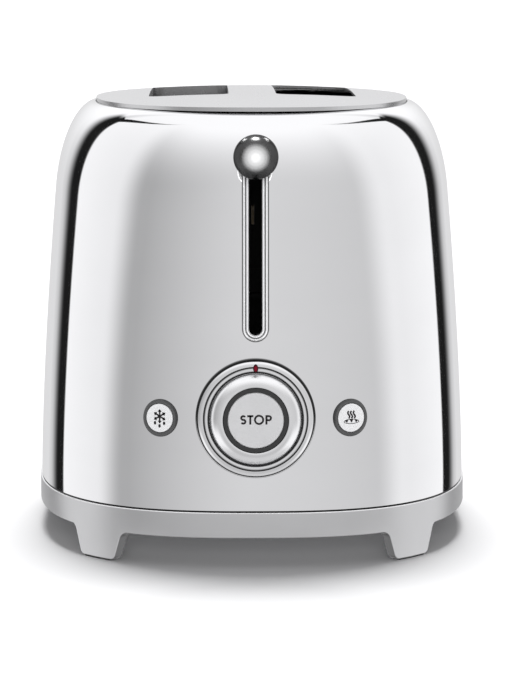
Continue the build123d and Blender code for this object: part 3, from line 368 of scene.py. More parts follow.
def mirror_steel():
    """Polished shell: a mirror with faint haze where it was buffed, and next to no orange peel."""
    look, tree, surface = new_material("shell_steel", (0.87, 0.87, 0.875), 1, 0.04)
    haze = grain(tree, 14, (1, 1, 3), 3.0)
    tree.links.new(tint(tree, haze, grey(0.855), grey(0.875)), surface.inputs["Base Color"])
    tree.links.new(spread(tree, haze, 0.03, 0.06), surface.inputs["Roughness"])
    relief(tree, surface, grain(tree, 30, (1, 1, 1), 1.0), 0.000004, 0.4)
    return look


def mica_sheet():
    """Pressed mica: warm flakes of many sizes with a dull sheen."""
    look, tree, surface = new_material("mica", (0.55, 0.47, 0.35), 0, 0.5)
    place = add_node(tree, "ShaderNodeTexCoord")
    flakes = add_node(tree, "ShaderNodeTexVoronoi", {"Vector": place.outputs["Object"], "Scale": 260.0})
    tree.links.new(tint(tree, flakes.outputs["Distance"], (0.38, 0.30, 0.20), (0.66, 0.58, 0.45)),
                   surface.inputs["Base Color"])
    tree.links.new(spread(tree, grain(tree, 500), 0.35, 0.65), surface.inputs["Roughness"])
    relief(tree, surface, flakes.outputs["Distance"], 0.00005)
    return look


def oxidised_wire():
    """Heating wire, straw to blue-grey where it has glowed."""
    look, tree, surface = new_material("heating_alloy", (0.35, 0.32, 0.30), 1, 0.45)
    tree.links.new(tint(tree, grain(tree, 90), (0.23, 0.21, 0.22), (0.46, 0.40, 0.34)),
                   surface.inputs["Base Color"])
    tree.links.new(spread(tree, grain(tree, 2500), 0.35, 0.6), surface.inputs["Roughness"])
    return look


def circuit_board():
    """Green board with paler lines where the copper runs under the lacquer."""
    look, tree, surface = new_material("circuit_board", (0.03, 0.20, 0.08), 0, 0.35)
    place = add_node(tree, "ShaderNodeTexCoord")
    runs = add_node(tree, "ShaderNodeTexBrick", {
        "Vector": place.outputs["Object"], "Scale": 130.0, "Mortar Size": 0.06,
        "Color1": (0.02, 0.15, 0.06, 1), "Color2": (0.03, 0.18, 0.07, 1), "Mortar": (0.08, 0.34, 0.14, 1)})
    tree.links.new(runs.outputs["Color"], surface.inputs["Base Color"])
    tree.links.new(spread(tree, grain(tree, 800), 0.25, 0.45), surface.inputs["Roughness"])
    relief(tree, surface, runs.outputs["Fac"], 0.00003)
    return look


def pointer_enamel():
    """Deep red enamel."""
    look, tree, surface = new_material("pointer_red", (0.20, 0.004, 0.015), 0, 0.2)
    surface.inputs["Specular IOR Level"].default_value = 0.12
    tone = tint(tree, grain(tree, 900), (0.17, 0.002, 0.012), (0.24, 0.004, 0.02))
    tree.links.new(darkened(tree, tone, 0.004), surface.inputs["Base Color"])
    tree.links.new(spread(tree, grain(tree, 400), 0.15, 0.3), surface.inputs["Roughness"])
    return look


def cast_silver():
    """Satin cast metal, with a painted highlight along its upper edge where the shade attribute is below 0,
    and painted shade where it is above 0.
    """
    look, tree, surface = new_material("base_silver", grey(0.62), 1, 0.36)
    fine = grain(tree, 2600)
    tone = darkened(tree, tint(tree, grain(tree, 65, (1, 1, 1), 2.0), grey(0.61), grey(0.63)))
    shade = add_node(tree, "ShaderNodeAttribute", attribute_name="shade")
    painted_highlight = spread(tree, shade.outputs["Fac"], 1.0, 0.0, -1.0, 0.0)
    bright = add_node(tree, "ShaderNodeMix", {0: painted_highlight, 6: tone, 7: (*grey(0.98), 1)}, data_type="RGBA")
    tree.links.new(bright.outputs[2], surface.inputs["Base Color"])
    tree.links.new(spread(tree, fine, 0.32, 0.40), surface.inputs["Roughness"])
    relief(tree, surface, fine, 0.0000006)
    return look


def painted_dark_ball():
    """Polished chrome ball in a near-black tone, which paints in its dark reflections; a little paler at its
    rim.
    """
    look, tree, surface = new_material("ball_painted_dark", grey(0.07), 1, 0.24)
    surface.inputs["Specular Tint"].default_value = (0.5, 0.5, 0.5, 1)
    broad = grain(tree, 90, (1, 1, 1), 2.0)
    tree.links.new(tint(tree, broad, grey(0.066), grey(0.074)), surface.inputs["Base Color"])
    tree.links.new(spread(tree, broad, 0.22, 0.26), surface.inputs["Roughness"])
    relief(tree, surface, grain(tree, 1500), 0.0000002)
    return look


looks = {
    "shell_steel": mirror_steel(),
    "plate_steel": worn_metal("plate_steel", 0.60, 0.27, 300, (1, 0.03, 1), 0.00000002, 0.02, 1.0, 0.02),
    "base_silver": cast_silver(),
    "black_rubber": moulded_plastic("black_rubber", (0.025, 0.025, 0.025), 0.75, 1500, 0.00003),
    "sheet_steel": worn_metal("sheet_steel", 0.60, 0.34, 900, (1, 1, 0.05), 0.000003, 0.08),
    "black_plastic": moulded_plastic("black_plastic", (0.014, 0.014, 0.015), 0.45),
    "bright_chrome": worn_metal("bright_chrome", 0.86, 0.05, 600, (1, 1, 1), 0.0000005, 0.01),
    "bright_sheet": worn_metal("bright_sheet", 0.78, 0.16, 700, (1, 1, 0.04), 0.000002),
    "mica": mica_sheet(),
    "heating_alloy": oxidised_wire(),
    "circuit_board": circuit_board(),
    "dark_ring": moulded_plastic("dark_ring", (0.085, 0.085, 0.086), 0.45, 3000, 0.000002),
    # dark_sheet: near-black coated sheet for the carriage and front frame, a tone chosen as well as painted
    # shade for the inside of the lever slot
    "dark_sheet": worn_metal("dark_sheet", 0.012, 0.6, 2400, (1, 1, 1), 0.00001, 0.1, 0.0),
    "white_plastic": moulded_plastic("white_plastic", (0.72, 0.71, 0.68), 0.4),
    "satin_chrome": worn_metal("satin_chrome", 0.86, 0.18, 2600, (1, 1, 1), 0.0000004, 0.02),
    "pointer_red": pointer_enamel(),
    "button_silver": worn_metal("button_silver", 0.78, 0.42, 4200, (1, 1, 1), 0.000001, 0.02, 0.6),
}
bright_trim = worn_metal("bright_trim", 0.95, 0.16, 600, (1, 1, 1), 0.0000003, 0.01, 0.5)
pale_button = worn_metal("pale_button", 0.93, 0.42, 4200, (1, 1, 1), 0.000001, 0.01, 0.2)
ink = moulded_plastic("ink", (0.008, 0.006, 0.007), 0.6)

for part in frame["record"]["subparts"]:
    carried = nodes[part["node"]]
    carried.data.materials.clear()
    carried.data.materials.append(looks[part["material_slot"]])
# The lever ball's near-black tone is a painted dark reflection
nodes["lever_ball"].data.materials[0] = painted_dark_ball()
for name in ("defrost_button", "reheat_button"):
    nodes[name].data.materials[0] = pale_button


# Outer shell: the body's formula as a fine skin, with real thickness and its holes

def shell_skin():
    """Skin of quads with its holes cut out, crisp at their edges and thickened inwards."""
    around = round(outline_ways[-1] / skin_step)
    turns = [turn_at(outline_ways[-1] * k / around) for k in range(around)]
    heights = skin_heights()
    points = [wall_point(turn, z) for z in heights for turn in turns]
    faces = []
    cut_away = set()
    for i in range(len(heights) - 1):
        for k in range(around):
            corner = [i * around + k, i * around + (k + 1) % around]
            face = (corner[0], corner[1], corner[1] + around, corner[0] + around)
            middle = sum((points[v] for v in face), Vector()) / 4
            if in_hole(middle):
                cut_away.update(face)
            else:
                faces.append(face)
    for v in cut_away.intersection(v for face in faces for v in face):
        points[v] = to_hole_edge(points[v])
    skin = mesh_piece("outer_shell_skin", points, faces, looks["shell_steel"], "housing", 60)
    net = bmesh.new()
    net.from_mesh(skin.data)
    for edge in net.edges:
        if edge.is_boundary:
            edge.smooth = False
    bmesh.ops.delete(net, geom=[v for v in net.verts if not v.link_faces], context="VERTS")
    net.to_mesh(skin.data)
    net.free()
    wall = skin.modifiers.new("wall", "SOLIDIFY")
    wall.thickness = shell_wall
    wall.offset = -1
    return skin


outline_places, outline_ways = outline_lengths()
skin = shell_skin()
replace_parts(skin, "outer_shell")


# Base ring: a band along the outline whose lower edge runs down round the legs

def rounded(corners, radii, steps=8):
    """Points of a line with its inner corners rounded."""
    points = [corners[0]]
    for before, corner, after, radius in zip(corners, corners[1:], corners[2:], radii):
        at = Vector(corner)
        back, ahead = (Vector(before) - at).normalized(), (Vector(after) - at).normalized()
        half = back.angle(ahead) / 2
        centre = at + (back + ahead).normalized() * radius / sin(half)
        start, end = at + back * radius / tan(half), at + ahead * radius / tan(half)
        first, last = start - centre, end - centre
        for i in range(steps + 1):
            between = first.lerp(last, i / steps).normalized() * radius
            points.append(tuple(centre + between))
    return points + [corners[-1]]


def leg_places():
    """Way along the outline to the middle of each leg, and the sense in which its outer side lies."""
    total = outline_ways[-1]
    first = way_of(leg_offset, 1)
    return (first, -1), (total / 2 - first, 1), (total / 2 + first, -1), (total - first, 1)


def band_columns():
    """Ways along the outline, each with the height of the ring's lower edge there."""
    beyond = 0.03
    edge = rounded([(-beyond, ring_bottom), *leg_outline, (beyond, ring_bottom)],
                   (leg_roots, leg_corners, leg_corners, leg_roots))[1:-1]
    columns = []
    for place, outward in leg_places():
        columns += [(place + outward * across, height) for across, height in edge]
    for i in range(round(outline_ways[-1] / band_step)):
        way = i * band_step
        place, outward = min(leg_places(), key=lambda leg: abs(way - leg[0]))
        across = outward * (way - place)
        if min(abs(across - point[0]) for point in edge) < band_step / 4:
            continue
        height = ring_bottom
        for (left, low), (right, high) in zip(edge, edge[1:]):
            if left < across < right:
                height = low + (high - low) * (across - left) / (right - left)
        columns.append((way, height))
    return sorted(columns)


def hoop_faces(columns, loop, closed=True):
    """Quads between columns that are each a closed loop of points; closed joins the last to the first."""
    faces = []
    for k in range(columns if closed else columns - 1):
        for i in range(loop):
            near, far = k * loop, (k + 1) % columns * loop
            step = (i + 1) % loop
            faces.append((near + i, near + step, far + step, far + i))
    return faces


def band(columns, section):
    """Band along the outline; section gives a column's loop of inset, height and shade for its lower edge."""
    points, shades = [], []
    for way, low in columns:
        for inset, height, shade in section(low):
            points.append(oblong_point(turn_at(way), height, inset, base_squareness))
            shades.append(shade)
    loop = len(section(ring_bottom))
    end = (len(columns) - 1) * loop
    faces = hoop_faces(len(columns), loop, closed=False)
    faces += [tuple(range(loop)), tuple(reversed(range(end, end + loop)))]
    return points, faces, shades


def joined(bands):
    """One mesh of several bands."""
    points, faces, shades = [], [], []
    for more_points, more_faces, more_shades in bands:
        start = len(points)
        points += more_points
        faces += [tuple(start + v for v in face) for face in more_faces]
        shades += more_shades
    return points, faces, shades


def lower_edge(low):
    return [(leg_inset, low, lower_shade), (leg_chamfer, low, lower_shade), (0.0, low + leg_chamfer, 0.0)]


def upper_edge():
    rounding = [(inset, ring_top - drop, shade) for inset, drop, shade in upper_round]
    return [*rounding, (upper_round[-1][0], skin_bottom, 1.0), (ring_wall, skin_bottom, 1.0)]


# The ring's inner faces, and the faces round the crumb tray's gap, carry painted shade
def whole_section(low):
    return [*lower_edge(low), *upper_edge(), (ring_wall, flange_top, 1.0), (flange_inset, flange_top, 1.0),
            (flange_inset, ring_bottom, 1.0), (flange_root, ring_bottom, 1.0)]


def under_tray_section(low):
    return [*lower_edge(low), (0.0, tray_gap_low, 0.3), (flange_inset, tray_gap_low, 0.8),
            (flange_inset, ring_bottom, 1.0), (flange_root, ring_bottom, 1.0)]


def over_tray_section(low):
    return [(ring_wall, tray_gap_high, 0.8), (0.0, tray_gap_high, 0.3), *upper_edge()]


def cast_ring():
    """Ring in three bands: one round the body up to the tray, and one each under and over the tray."""
    columns = band_columns()
    half = min(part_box("crumb_tray")[1].x, tray_gap_half)
    start, end = way_of(half, 1), way_of(-half, 1)
    behind = [(start, ring_bottom)] + [c for c in columns if start < c[0] < end] + [(end, ring_bottom)]
    others = [c for c in columns if c[0] > end] + [c for c in columns if c[0] < start]
    others = [(end, ring_bottom)] + others + [(start, ring_bottom)]
    bands = [band(others, whole_section), band(behind, under_tray_section), band(behind, over_tray_section)]
    points, faces, shades = joined(bands)
    material = looks["base_silver"]
    return mesh_piece("base_ring_cast", points, faces, material, "housing", 40, shades)


def pad_section(top):
    return [(pad_inner_inset, 0.0, 0.0), (pad_outer_inset, 0.0, 0.0), (pad_outer_inset, top, 0.0),
            (pad_inner_inset, top, 0.0)]


def rubber_pads():
    """Four thin pads under the legs."""
    bands = []
    for place, outward in leg_places():
        steps = [pad_start + pad_length * i / pad_columns for i in range(pad_columns + 1)]
        ways = sorted(place + outward * step for step in steps)
        bands.append(band([(way, foot_top) for way in ways], pad_section))
    points, faces, shades = joined(bands)
    return mesh_piece("leg_pads", points, faces, looks["black_rubber"], "housing", 40, shades)


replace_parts(cast_ring(), "base_ring")
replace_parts(rubber_pads(), "rubber_feet")


# Turned and swept trims. Their profiles are closed loops in millimetres: radius, height above the place, and
# shade; a fourth value of True measures the height from the shell's wall in place of the place's plane

# Painted shade: the profiles' shade darkens the colour in the trims' grooves and at their edges (on the stop
# sleeve it only gives the sleeve its own darker tone), and upper_shade paints shade over a hoop's top and
# sides, fading out towards its bottom
shade_at_sides = 0.9
shade_fall = 1.6


def wall_height(place, across, up):
    """Height of the front wall over a place's plane, at a point of the plane."""
    height, step = 0.0, 0.00001
    for _ in range(4):
        at, beyond = (place @ Vector((across, up, height + extra)) for extra in (0.0, step))
        miss = at.y - body_middle + wall_depth(at.x, at.z)
        change = beyond.y - body_middle + wall_depth(beyond.x, beyond.z) - miss
        height -= miss * step / change
    return height


def turned(name, profile, place, body, slot, around=256, upper_shade=0.0):
    """Hoop turned about a place's z axis; upper_shade is the least painted shade of its top and sides, fading
    out towards its bottom.
    """
    points, shades = [], []
    for k in range(around):
        turn = 2 * pi * k / around
        over_top = min(1.0, max(0.0, shade_at_sides + shade_fall * sin(turn)))
        for radius, height, shade, *on_wall in profile:
            across, up = radius / 1000 * cos(turn), radius / 1000 * sin(turn)
            base = wall_height(place, across, up) if on_wall else 0.0
            points.append(place @ Vector((across, up, base + height / 1000)))
            shades.append(max(shade, upper_shade * over_top))
    return mesh_piece(name, points, hoop_faces(around, len(profile)), looks[slot], body, 40, shades)


def swept_round_slot(name, profile, material, body, straight=90, bend=40):
    """Hoop swept round the lever slot on the leaning wall, its radius taken from the slot's middle line."""
    path = [(0.0, slot_low + (slot_high - slot_low) * i / straight) for i in range(straight + 1)]
    path += [(pi * i / bend, slot_high) for i in range(1, bend)]
    path += [(pi, z) for turn, z in reversed(path[:straight + 1])]
    path += [(pi + pi * i / bend, slot_low) for i in range(1, bend)]
    points, shades = [], []
    for turn, middle in path:
        for radius, height, shade in profile:
            x, z = radius / 1000 * cos(turn), middle + radius / 1000 * sin(turn)
            points.append(Vector((x, body_middle - wall_depth(0, z) - height / 1000, z)))
            shades.append(shade)
    return mesh_piece(name, points, hoop_faces(len(path), len(profile)), material, body, 40, shades)


def bend_points(centre, radius, start, end, steps, shade=0.0):
    """Stretch of a profile along an arc from one angle to another, in degrees."""
    angles = [radians(start + (end - start) * i / steps) for i in range(steps + 1)]
    return [(centre[0] + radius * cos(a), centre[1] + radius * sin(a), shade) for a in angles]


dial_place = wall_frame(1e-9, dial_height)
button_places = {"defrost": wall_frame(-button_offset, button_height),
                 "reheat": wall_frame(button_offset, button_height)}

# Bezel of the lever slot: two ridges with a groove between them, with painted shade along its outer edge, in
# the groove and at the slot's edge
bezel_profile = [
    (5.75, -0.10, 0.95), (5.75, 0.25, 0.95), (5.60, 0.42, 0.90), (5.24, 0.46, 0.85),
    (5.16, 0.54, 0.0), (4.84, 1.12, 0.0), (4.77, 1.18, 0.0), (4.70, 1.12, 0.0), (4.42, 0.58, 0.0),
    (4.36, 0.44, 0.85), (4.14, 0.40, 0.90), (3.92, 0.44, 0.85),
    (3.86, 0.58, 0.0), (3.44, 1.30, 0.0), (3.36, 1.36, 0.0), (3.28, 1.30, 0.0), (2.86, 0.58, 0.0),
    (2.80, 0.40, 0.95), (2.80, 0.10, 1.0),
]
slot_trim = swept_round_slot("slot_bezel_trim", bezel_profile, bright_trim, "housing")
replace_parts(slot_trim, "slot_bezel")

# Dial: a rounded skirt, two grooves, the dome and the crown round its bore, with painted shade on the skirt's
# lower flank, in the grooves and at the bore's edge
dial_bore = [(13.91, -9.70, 0.6), (15.51, -9.70, 0.6), (15.51, 2.30, 0.9)]
dial_skirt = [
    (24.30, 2.30, 1.0), (24.74, 2.36, 1.0), (24.80, 2.55, 1.0), (24.66, 2.86, 1.0), (24.44, 3.10, 0.95),
    (24.34, 3.20, 0.0), (24.00, 3.50, 0.0), (23.55, 3.74, 0.0), (23.00, 3.90, 0.0), (22.36, 3.98, 0.0),
]
dial_grooves = [
    (22.28, 3.90, 0.75), (22.20, 3.40, 0.95), (22.02, 3.35, 0.95), (21.76, 3.45, 0.95), (21.68, 3.98, 0.75),
    (21.50, 4.10, 0.3), (21.20, 4.14, 0.0), (20.66, 4.14, 0.0), (20.44, 4.10, 0.3), (20.32, 4.00, 0.75),
    (20.24, 3.60, 0.95), (20.02, 3.55, 0.95), (19.84, 3.65, 0.95), (19.76, 3.95, 0.6), (19.58, 4.10, 0.0),
]
dial_dome = bend_points((13.99, 2.85), 5.60, 17.0, 82.2, 18)
dial_crown = [(14.45, 8.42, 0.0), (14.12, 8.38, 0.0), (13.95, 8.20, 0.2), (13.91, 8.00, 0.9)]
dial_profile = dial_bore + dial_skirt + dial_grooves + dial_dome + dial_crown
dial_knob = turned("browning_knob", dial_profile, dial_place, "dial", "satin_chrome", 384)
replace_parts(dial_knob, "browning_dial")

# Bezel round the dial, with painted shade on its flank and under the knob's skirt, and over its top and sides
# through upper_shade
dial_bezel_profile = [
    (18.00, -4.00, 0.9), (19.70, -4.00, 0.9), (19.70, 0.10, 0.9, True), (25.50, 0.10, 0.9, True),
    (25.50, 0.40, 1.0, True), (25.50, 1.45, 1.0), (25.46, 1.75, 1.0), (25.32, 1.94, 0.3), (25.18, 2.00, 0.0),
    (25.06, 1.98, 0.2), (24.98, 1.70, 1.0), (18.00, 1.70, 1.0),
]
dial_rim = turned("dial_bezel_rim", dial_bezel_profile, dial_place, "housing", "bright_chrome", 384, 0.95)
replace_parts(dial_rim, "dial_bezel")

# Rings round the two push buttons, with painted shade at their outer foot and inner edge
button_ring_profile = [
    (6.13, -8.00, 0.9), (6.80, -8.00, 0.9), (6.80, 0.03, 0.9, True), (8.05, 0.03, 0.9, True),
    (8.05, 0.15, 0.8, True), (7.95, 0.35, 0.5, True), (7.70, 0.60, 0.2, True), (7.45, 0.84, 0.0),
    (7.10, 0.90, 0.0), (6.75, 0.88, 0.0), (6.40, 0.78, 0.4), (6.13, 0.50, 0.9),
]
for name, place in button_places.items():
    ring = turned(f"{name}_ring_trim", button_ring_profile, place, "housing", "dark_ring")
    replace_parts(ring, f"{name}_button_ring")

# Sleeve round the stop button
sleeve_profile = [
    (11.98, -17.00, 0.9), (13.83, -17.00, 0.9), (13.83, 7.90, 0.95), (13.70, 8.06, 0.92), (13.45, 8.10, 0.90),
    (12.35, 8.10, 0.90), (12.10, 8.05, 0.92), (11.98, 7.85, 0.95),
]
sleeve = turned("stop_sleeve_trim", sleeve_profile, dial_place, "housing", "dark_ring", 256)
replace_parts(sleeve, "stop_sleeve")


def pointer_drop():
    """Oval of enamel let into the dial's skirt, low at its dark edge and swelling to the middle."""
    half_width, half_length, seat, swell, depth = 0.0011, 0.00185, 0.0042, 0.0003, 0.0013
    around, rings = 64, 10
    dark_from, dark_width = 0.45, 0.4
    middle = Vector((0, 0.0216, seat))
    turns = [2 * pi * k / around for k in range(around)]
    oval = [(half_width * cos(turn), half_length * sin(turn)) for turn in turns]
    points, shades = [dial_place @ (middle + Vector((0, 0, swell)))], [0.0]
    for i in range(1, rings + 1):
        share = i / rings
        for across, up in oval:
            rim = Vector((across * share, up * share, swell * (1 - share**2)))
            points.append(dial_place @ (middle + rim))
            shades.append(min(1.0, max(0.0, (share - dark_from) / dark_width)))
    for across, up in oval:
        points.append(dial_place @ (middle + Vector((across, up, -depth))))
        shades.append(1.0)
    faces = [(0, 1 + k, 1 + (k + 1) % around) for k in range(around)]
    for i in range(rings):
        start = 1 + i * around
        for k in range(around):
            after = (k + 1) % around
            faces.append((start + k, start + around + k, start + around + after, start + after))
    faces.append(tuple(1 + rings * around + k for k in range(around)))
    return mesh_piece("pointer_drop", points, faces, looks["pointer_red"], "dial", 40, shades)


pointer = pointer_drop()
pointer.visible_glossy = False
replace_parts(pointer, "dial_pointer")


# Marks: flat ribbons of ink, laid out in millimetres on a button's face

def arc(centre, radius, start, end, steps=24):
    """Points of an arc from one angle to another, in degrees."""
    angles = [radians(start + (end - start) * i / steps) for i in range(steps + 1)]
    return [(centre[0] + radius * cos(a), centre[1] + radius * sin(a)) for a in angles]


def ribbon(path, width, closed=False):
    """Outline quads along a path."""
    points, faces = [], []
    count = len(path)
    for i, (x, y) in enumerate(path):
        before = path[(i - 1) % count] if closed or i else path[i]
        after = path[(i + 1) % count] if closed or i < count - 1 else path[i]
        along = Vector((after[0] - before[0], after[1] - before[1])).normalized()
        points.append((x - along.y * width / 2, y + along.x * width / 2))
        points.append((x + along.y * width / 2, y - along.x * width / 2))
    for i in range(count if closed else count - 1):
        j = (i + 1) % count
        faces.append((2 * i + 1, 2 * j + 1, 2 * j, 2 * i))
    return points, faces


def mark(name, ribbons, place, front, body):
    """Ink on a face: ribbons in millimetres, raised a hair above it."""
    points, faces = [], []
    for flat, quads in ribbons:
        start = len(points)
        points += [place @ Vector((x / 1000, y / 1000, front + ink_thickness)) for x, y in flat]
        faces += [tuple(start + v for v in quad) for quad in quads]
    piece = mesh_piece(name, points, faces, ink, body)
    body_of_ink = piece.modifiers.new("ink", "SOLIDIFY")
    body_of_ink.thickness = ink_thickness
    body_of_ink.offset = -1
    return piece


def patch(corners):
    """Filled outline."""
    return list(corners), [tuple(reversed(range(len(corners))))]


def stop_word():
    """The word on the stop button, drawn with one pen width."""
    pen = 0.84
    low, high = -1.66, 2.31
    foot, top = low + pen / 2, high - pen / 2
    bowl = (top - foot) / 4
    upper, lower = foot + 3 * bowl, foot + bowl
    s, t, o, stem = -5.28, -2.33, 1.36, 4.48
    bowls = arc((s, upper), bowl, 30, 270) + arc((s, lower), bowl, 90, -150)[1:]
    curl = [(s + 1.12 * (x - s), y) for x, y in bowls]
    reach = (high - low) / 2 + 0.17 - pen / 2
    eye = arc((5.5, top - 0.86), 0.86, 90, -90)[1:]
    return [
        ribbon(curl, pen),
        ribbon([(t - 1.3, top), (t + 1.3, top)], pen),
        ribbon([(t, high), (t, low)], pen),
        ribbon(arc((o, (low + high) / 2), reach, 0, 348, 29), pen, closed=True),
        ribbon([(stem, low), (stem, high)], pen),
        ribbon([(stem, top), (5.5, top)] + eye + [(stem, top - 1.72)], pen),
    ]


def frost_sign():
    """Six-armed frost star with arrow tips, above three drops."""
    pen, reach, barb = 0.72, 3.10, 1.10
    centre = Vector((0.05, 0.75))
    marks = []
    for k in range(6):
        turn = radians(60 * k + 90)
        along, across = Vector((cos(turn), sin(turn))), Vector((-sin(turn), cos(turn)))
        marks.append(ribbon([tuple(centre), tuple(centre + along * (reach - 0.4))], pen))
        tip = centre + along * reach
        side = [centre + along * (reach - barb) + across * 0.92 * sign for sign in (-1, 1)]
        notch = [centre + along * (reach - 1.3) + across * 0.33 * sign for sign in (-1, 1)]
        marks.append(patch([tuple(p) for p in (tip, side[0], notch[0], notch[1], side[1])]))
    turns = [2 * pi * i / 20 for i in range(20)]
    for x, y in ((-2.1, -2.15), (0.0, -3.4), (2.1, -2.2)):
        marks.append(patch([(x + 0.56 * cos(a), y + 0.78 * sin(a)) for a in turns]))
    return marks


def warm_sign():
    """Three waves of steam above a loaf with three cuts."""
    pen, middle = 0.76, 0.15
    marks = []
    for x in (-1.3, 0.0, 1.3):
        wave = [(x + middle - 0.42 * sin(2 * pi * i / 24), 2.9 - 3.2 * i / 24) for i in range(25)]
        marks.append(ribbon(wave, pen))
    outline = [(middle + 3.45 * cos(a), -1.7 + 0.85 * sin(a) * (1.25 if sin(a) > 0 else 0.95))
               for a in (2 * pi * i / 48 for i in range(48))]
    marks.append(ribbon(outline, 0.26, closed=True))
    marks.append(patch([(middle - 0.85, -0.75), (middle, -0.55), (middle + 0.85, -0.75), (middle, -2.2)]))
    for side in (-1, 1):
        marks.append(patch([(middle + side * x, y) for x, y in
                            ((1.5, -0.85), (2.9, -1.2), (2.75, -1.65), (2.1, -2.1))]))
    return marks


mark("stop_word", stop_word(), dial_place, stop_front, "stop_button")
for name, sign in (("defrost", frost_sign()), ("reheat", warm_sign())):
    mark(f"{name}_sign", sign, button_places[name], button_front, f"{name}_button")


# Studio

def level_of(tone):
    """Linear light of a display tone from 0 to 255."""
    share = tone / 255
    return share / 12.92 if share <= 0.04045 else ((share + 0.055) / 1.055) ** 2.4


def node_value(tree, kind, *values):
    """Result of a math node on values or sockets."""
    node = tree.nodes.new("ShaderNodeMath")
    node.operation = kind
    for i, value in enumerate(values):
        if isinstance(value, bpy.types.NodeSocket):
            tree.links.new(value, node.inputs[i])
        else:
            node.inputs[i].default_value = value
    return node.outputs[0]


def eased(tree, value, start, end):
    """0 before start, 1 after end, with a soft step between."""
    node = add_node(tree, "ShaderNodeMapRange",
                    {"Value": value, "From Min": start, "From Max": end}, interpolation_type="SMOOTHSTEP")
    return node.outputs["Result"]


# White tent round the object, in the tones that polished metal shows of it: a front wall that falls off to
# its left and right ends, side walls that grow paler to the rear, and a rear wall. Turns are in degrees from
# the lever end
front_tone = 210
front_end_tones = (170, 200)
front_reach = (0.0, 72.0)
side_tones = (235, 245)
side_reach = (104.0, 139.0)
tent_corners = ((-78.0, -104.0), (68.0, 96.0))
rear_steps = ((160, 139.0, 148.0), (215, 148.0, 160.0), (205, 160.0, 180.0))
metal_tone = 0.87
tent_ceiling = 253
ground_before = 190
ground_beside = 250
ground_below = 205
seam_tone = 30

# Where the tent's parts meet, in degrees up from level, or round from the lever end
front_ceiling = (14.0, 62.0)
rear_ceiling = (-3.0, 19.0)
rear_part = (144.0, 150.0)
ground_rise = (-8.0, -30.0)
ground_depth = (-38.0, -55.0)
ground_side = (25.0, 60.0)

# Dark seam of the tent: an upright post on each side, and an arch over the lever end, thinner to its middle
seam_turn = 143.5
seam_half_width = 4.0
seam_inner_blur = 0.8
seam_outer_blur = (8.0, -1.0)
seam_rise = 28.0
seam_top_blur = (3.0, -1.0)
arch_start = 141.0
arch_turn = 71.0
arch_rise = 38.0
arch_bend = 0.8
arch_reach = 2.7
arch_blur = 0.6
arch_end = (148.0, 144.0)

# Light: the world's even part, the floor's tones, the suns' strengths and angles, and the lever ball's lamps,
# each with its size, its power and its place from the ball's middle
world_light = 0.26
floor_reach = 30.0
floor_paint = 0.80
floor_seen = 1.03
overhead_power = 2.90
sun_angle = radians(27)
overhead_tilt = radians(21)
fill_power = 1.5
trim_power = 2.4
fill_height = radians(7)
ball_lamps = (
    (0.9, 8.0, Vector((-0.03, -1.00, -0.02))), (2.0, 38.0, Vector((-0.03, -1.05, -0.02))),
    (4.0, 175.0, Vector((-0.03, -1.10, -0.02))), (8.2, 480.0, Vector((-0.03, -1.15, -0.02))),
    (0.34, 14.0, Vector((-0.02, 0.37, 0.93))), (0.11, 2.6, Vector((-0.40, 0.69, 0.60))),
    (0.11, 2.6, Vector((0.40, 0.69, 0.60))),
)


def shown_tone(tone):
    """Colour of the tent that polished metal shows as this display tone."""
    return (*grey(level_of(tone) / metal_tone), 1)


def mixed_colour(tree, share, first, second):
    """Colour between two, each a socket or a value, without a limit at white."""
    node = add_node(tree, "ShaderNodeMix", {0: share, 6: first, 7: second}, data_type="RGBA")
    node.clamp_result = False
    return node.outputs[2]


def tent_walls(tree, turn, away):
    """Colour of the tent's walls round the object. away is the turn without its sign."""
    to_right = node_value(tree, "GREATER_THAN", turn, 0.0)
    front_end = mixed_colour(tree, to_right, *(shown_tone(tone) for tone in front_end_tones))
    walls = mixed_colour(tree, spread(tree, away, 0.0, 1.0, *front_reach), shown_tone(front_tone), front_end)
    along_side = spread(tree, away, 0.0, 1.0, *side_reach)
    sides = mixed_colour(tree, along_side, *(shown_tone(tone) for tone in side_tones))
    for start, end in tent_corners:
        walls = mixed_colour(tree, eased(tree, turn, start, end), walls, sides)
    for tone, start, end in rear_steps:
        walls = mixed_colour(tree, spread(tree, away, 0.0, 1.0, start, end), walls, shown_tone(tone))
    return walls


def tent_colour(tree, turn, away, lift):
    """Walls, ceiling and ground of the tent. away is the turn without its sign."""
    raised = add_node(tree, "ShaderNodeMix", {
        0: eased(tree, away, *rear_part), 2: eased(tree, lift, *front_ceiling),
        3: eased(tree, lift, *rear_ceiling)})
    upper = mixed_colour(tree, raised.outputs[0], tent_walls(tree, turn, away), shown_tone(tent_ceiling))
    ground = mixed_colour(tree, eased(tree, away, *ground_side), shown_tone(ground_before),
                          shown_tone(ground_beside))
    ground = mixed_colour(tree, eased(tree, lift, *ground_depth), ground, shown_tone(ground_below))
    return mixed_colour(tree, eased(tree, lift, *ground_rise), upper, ground)


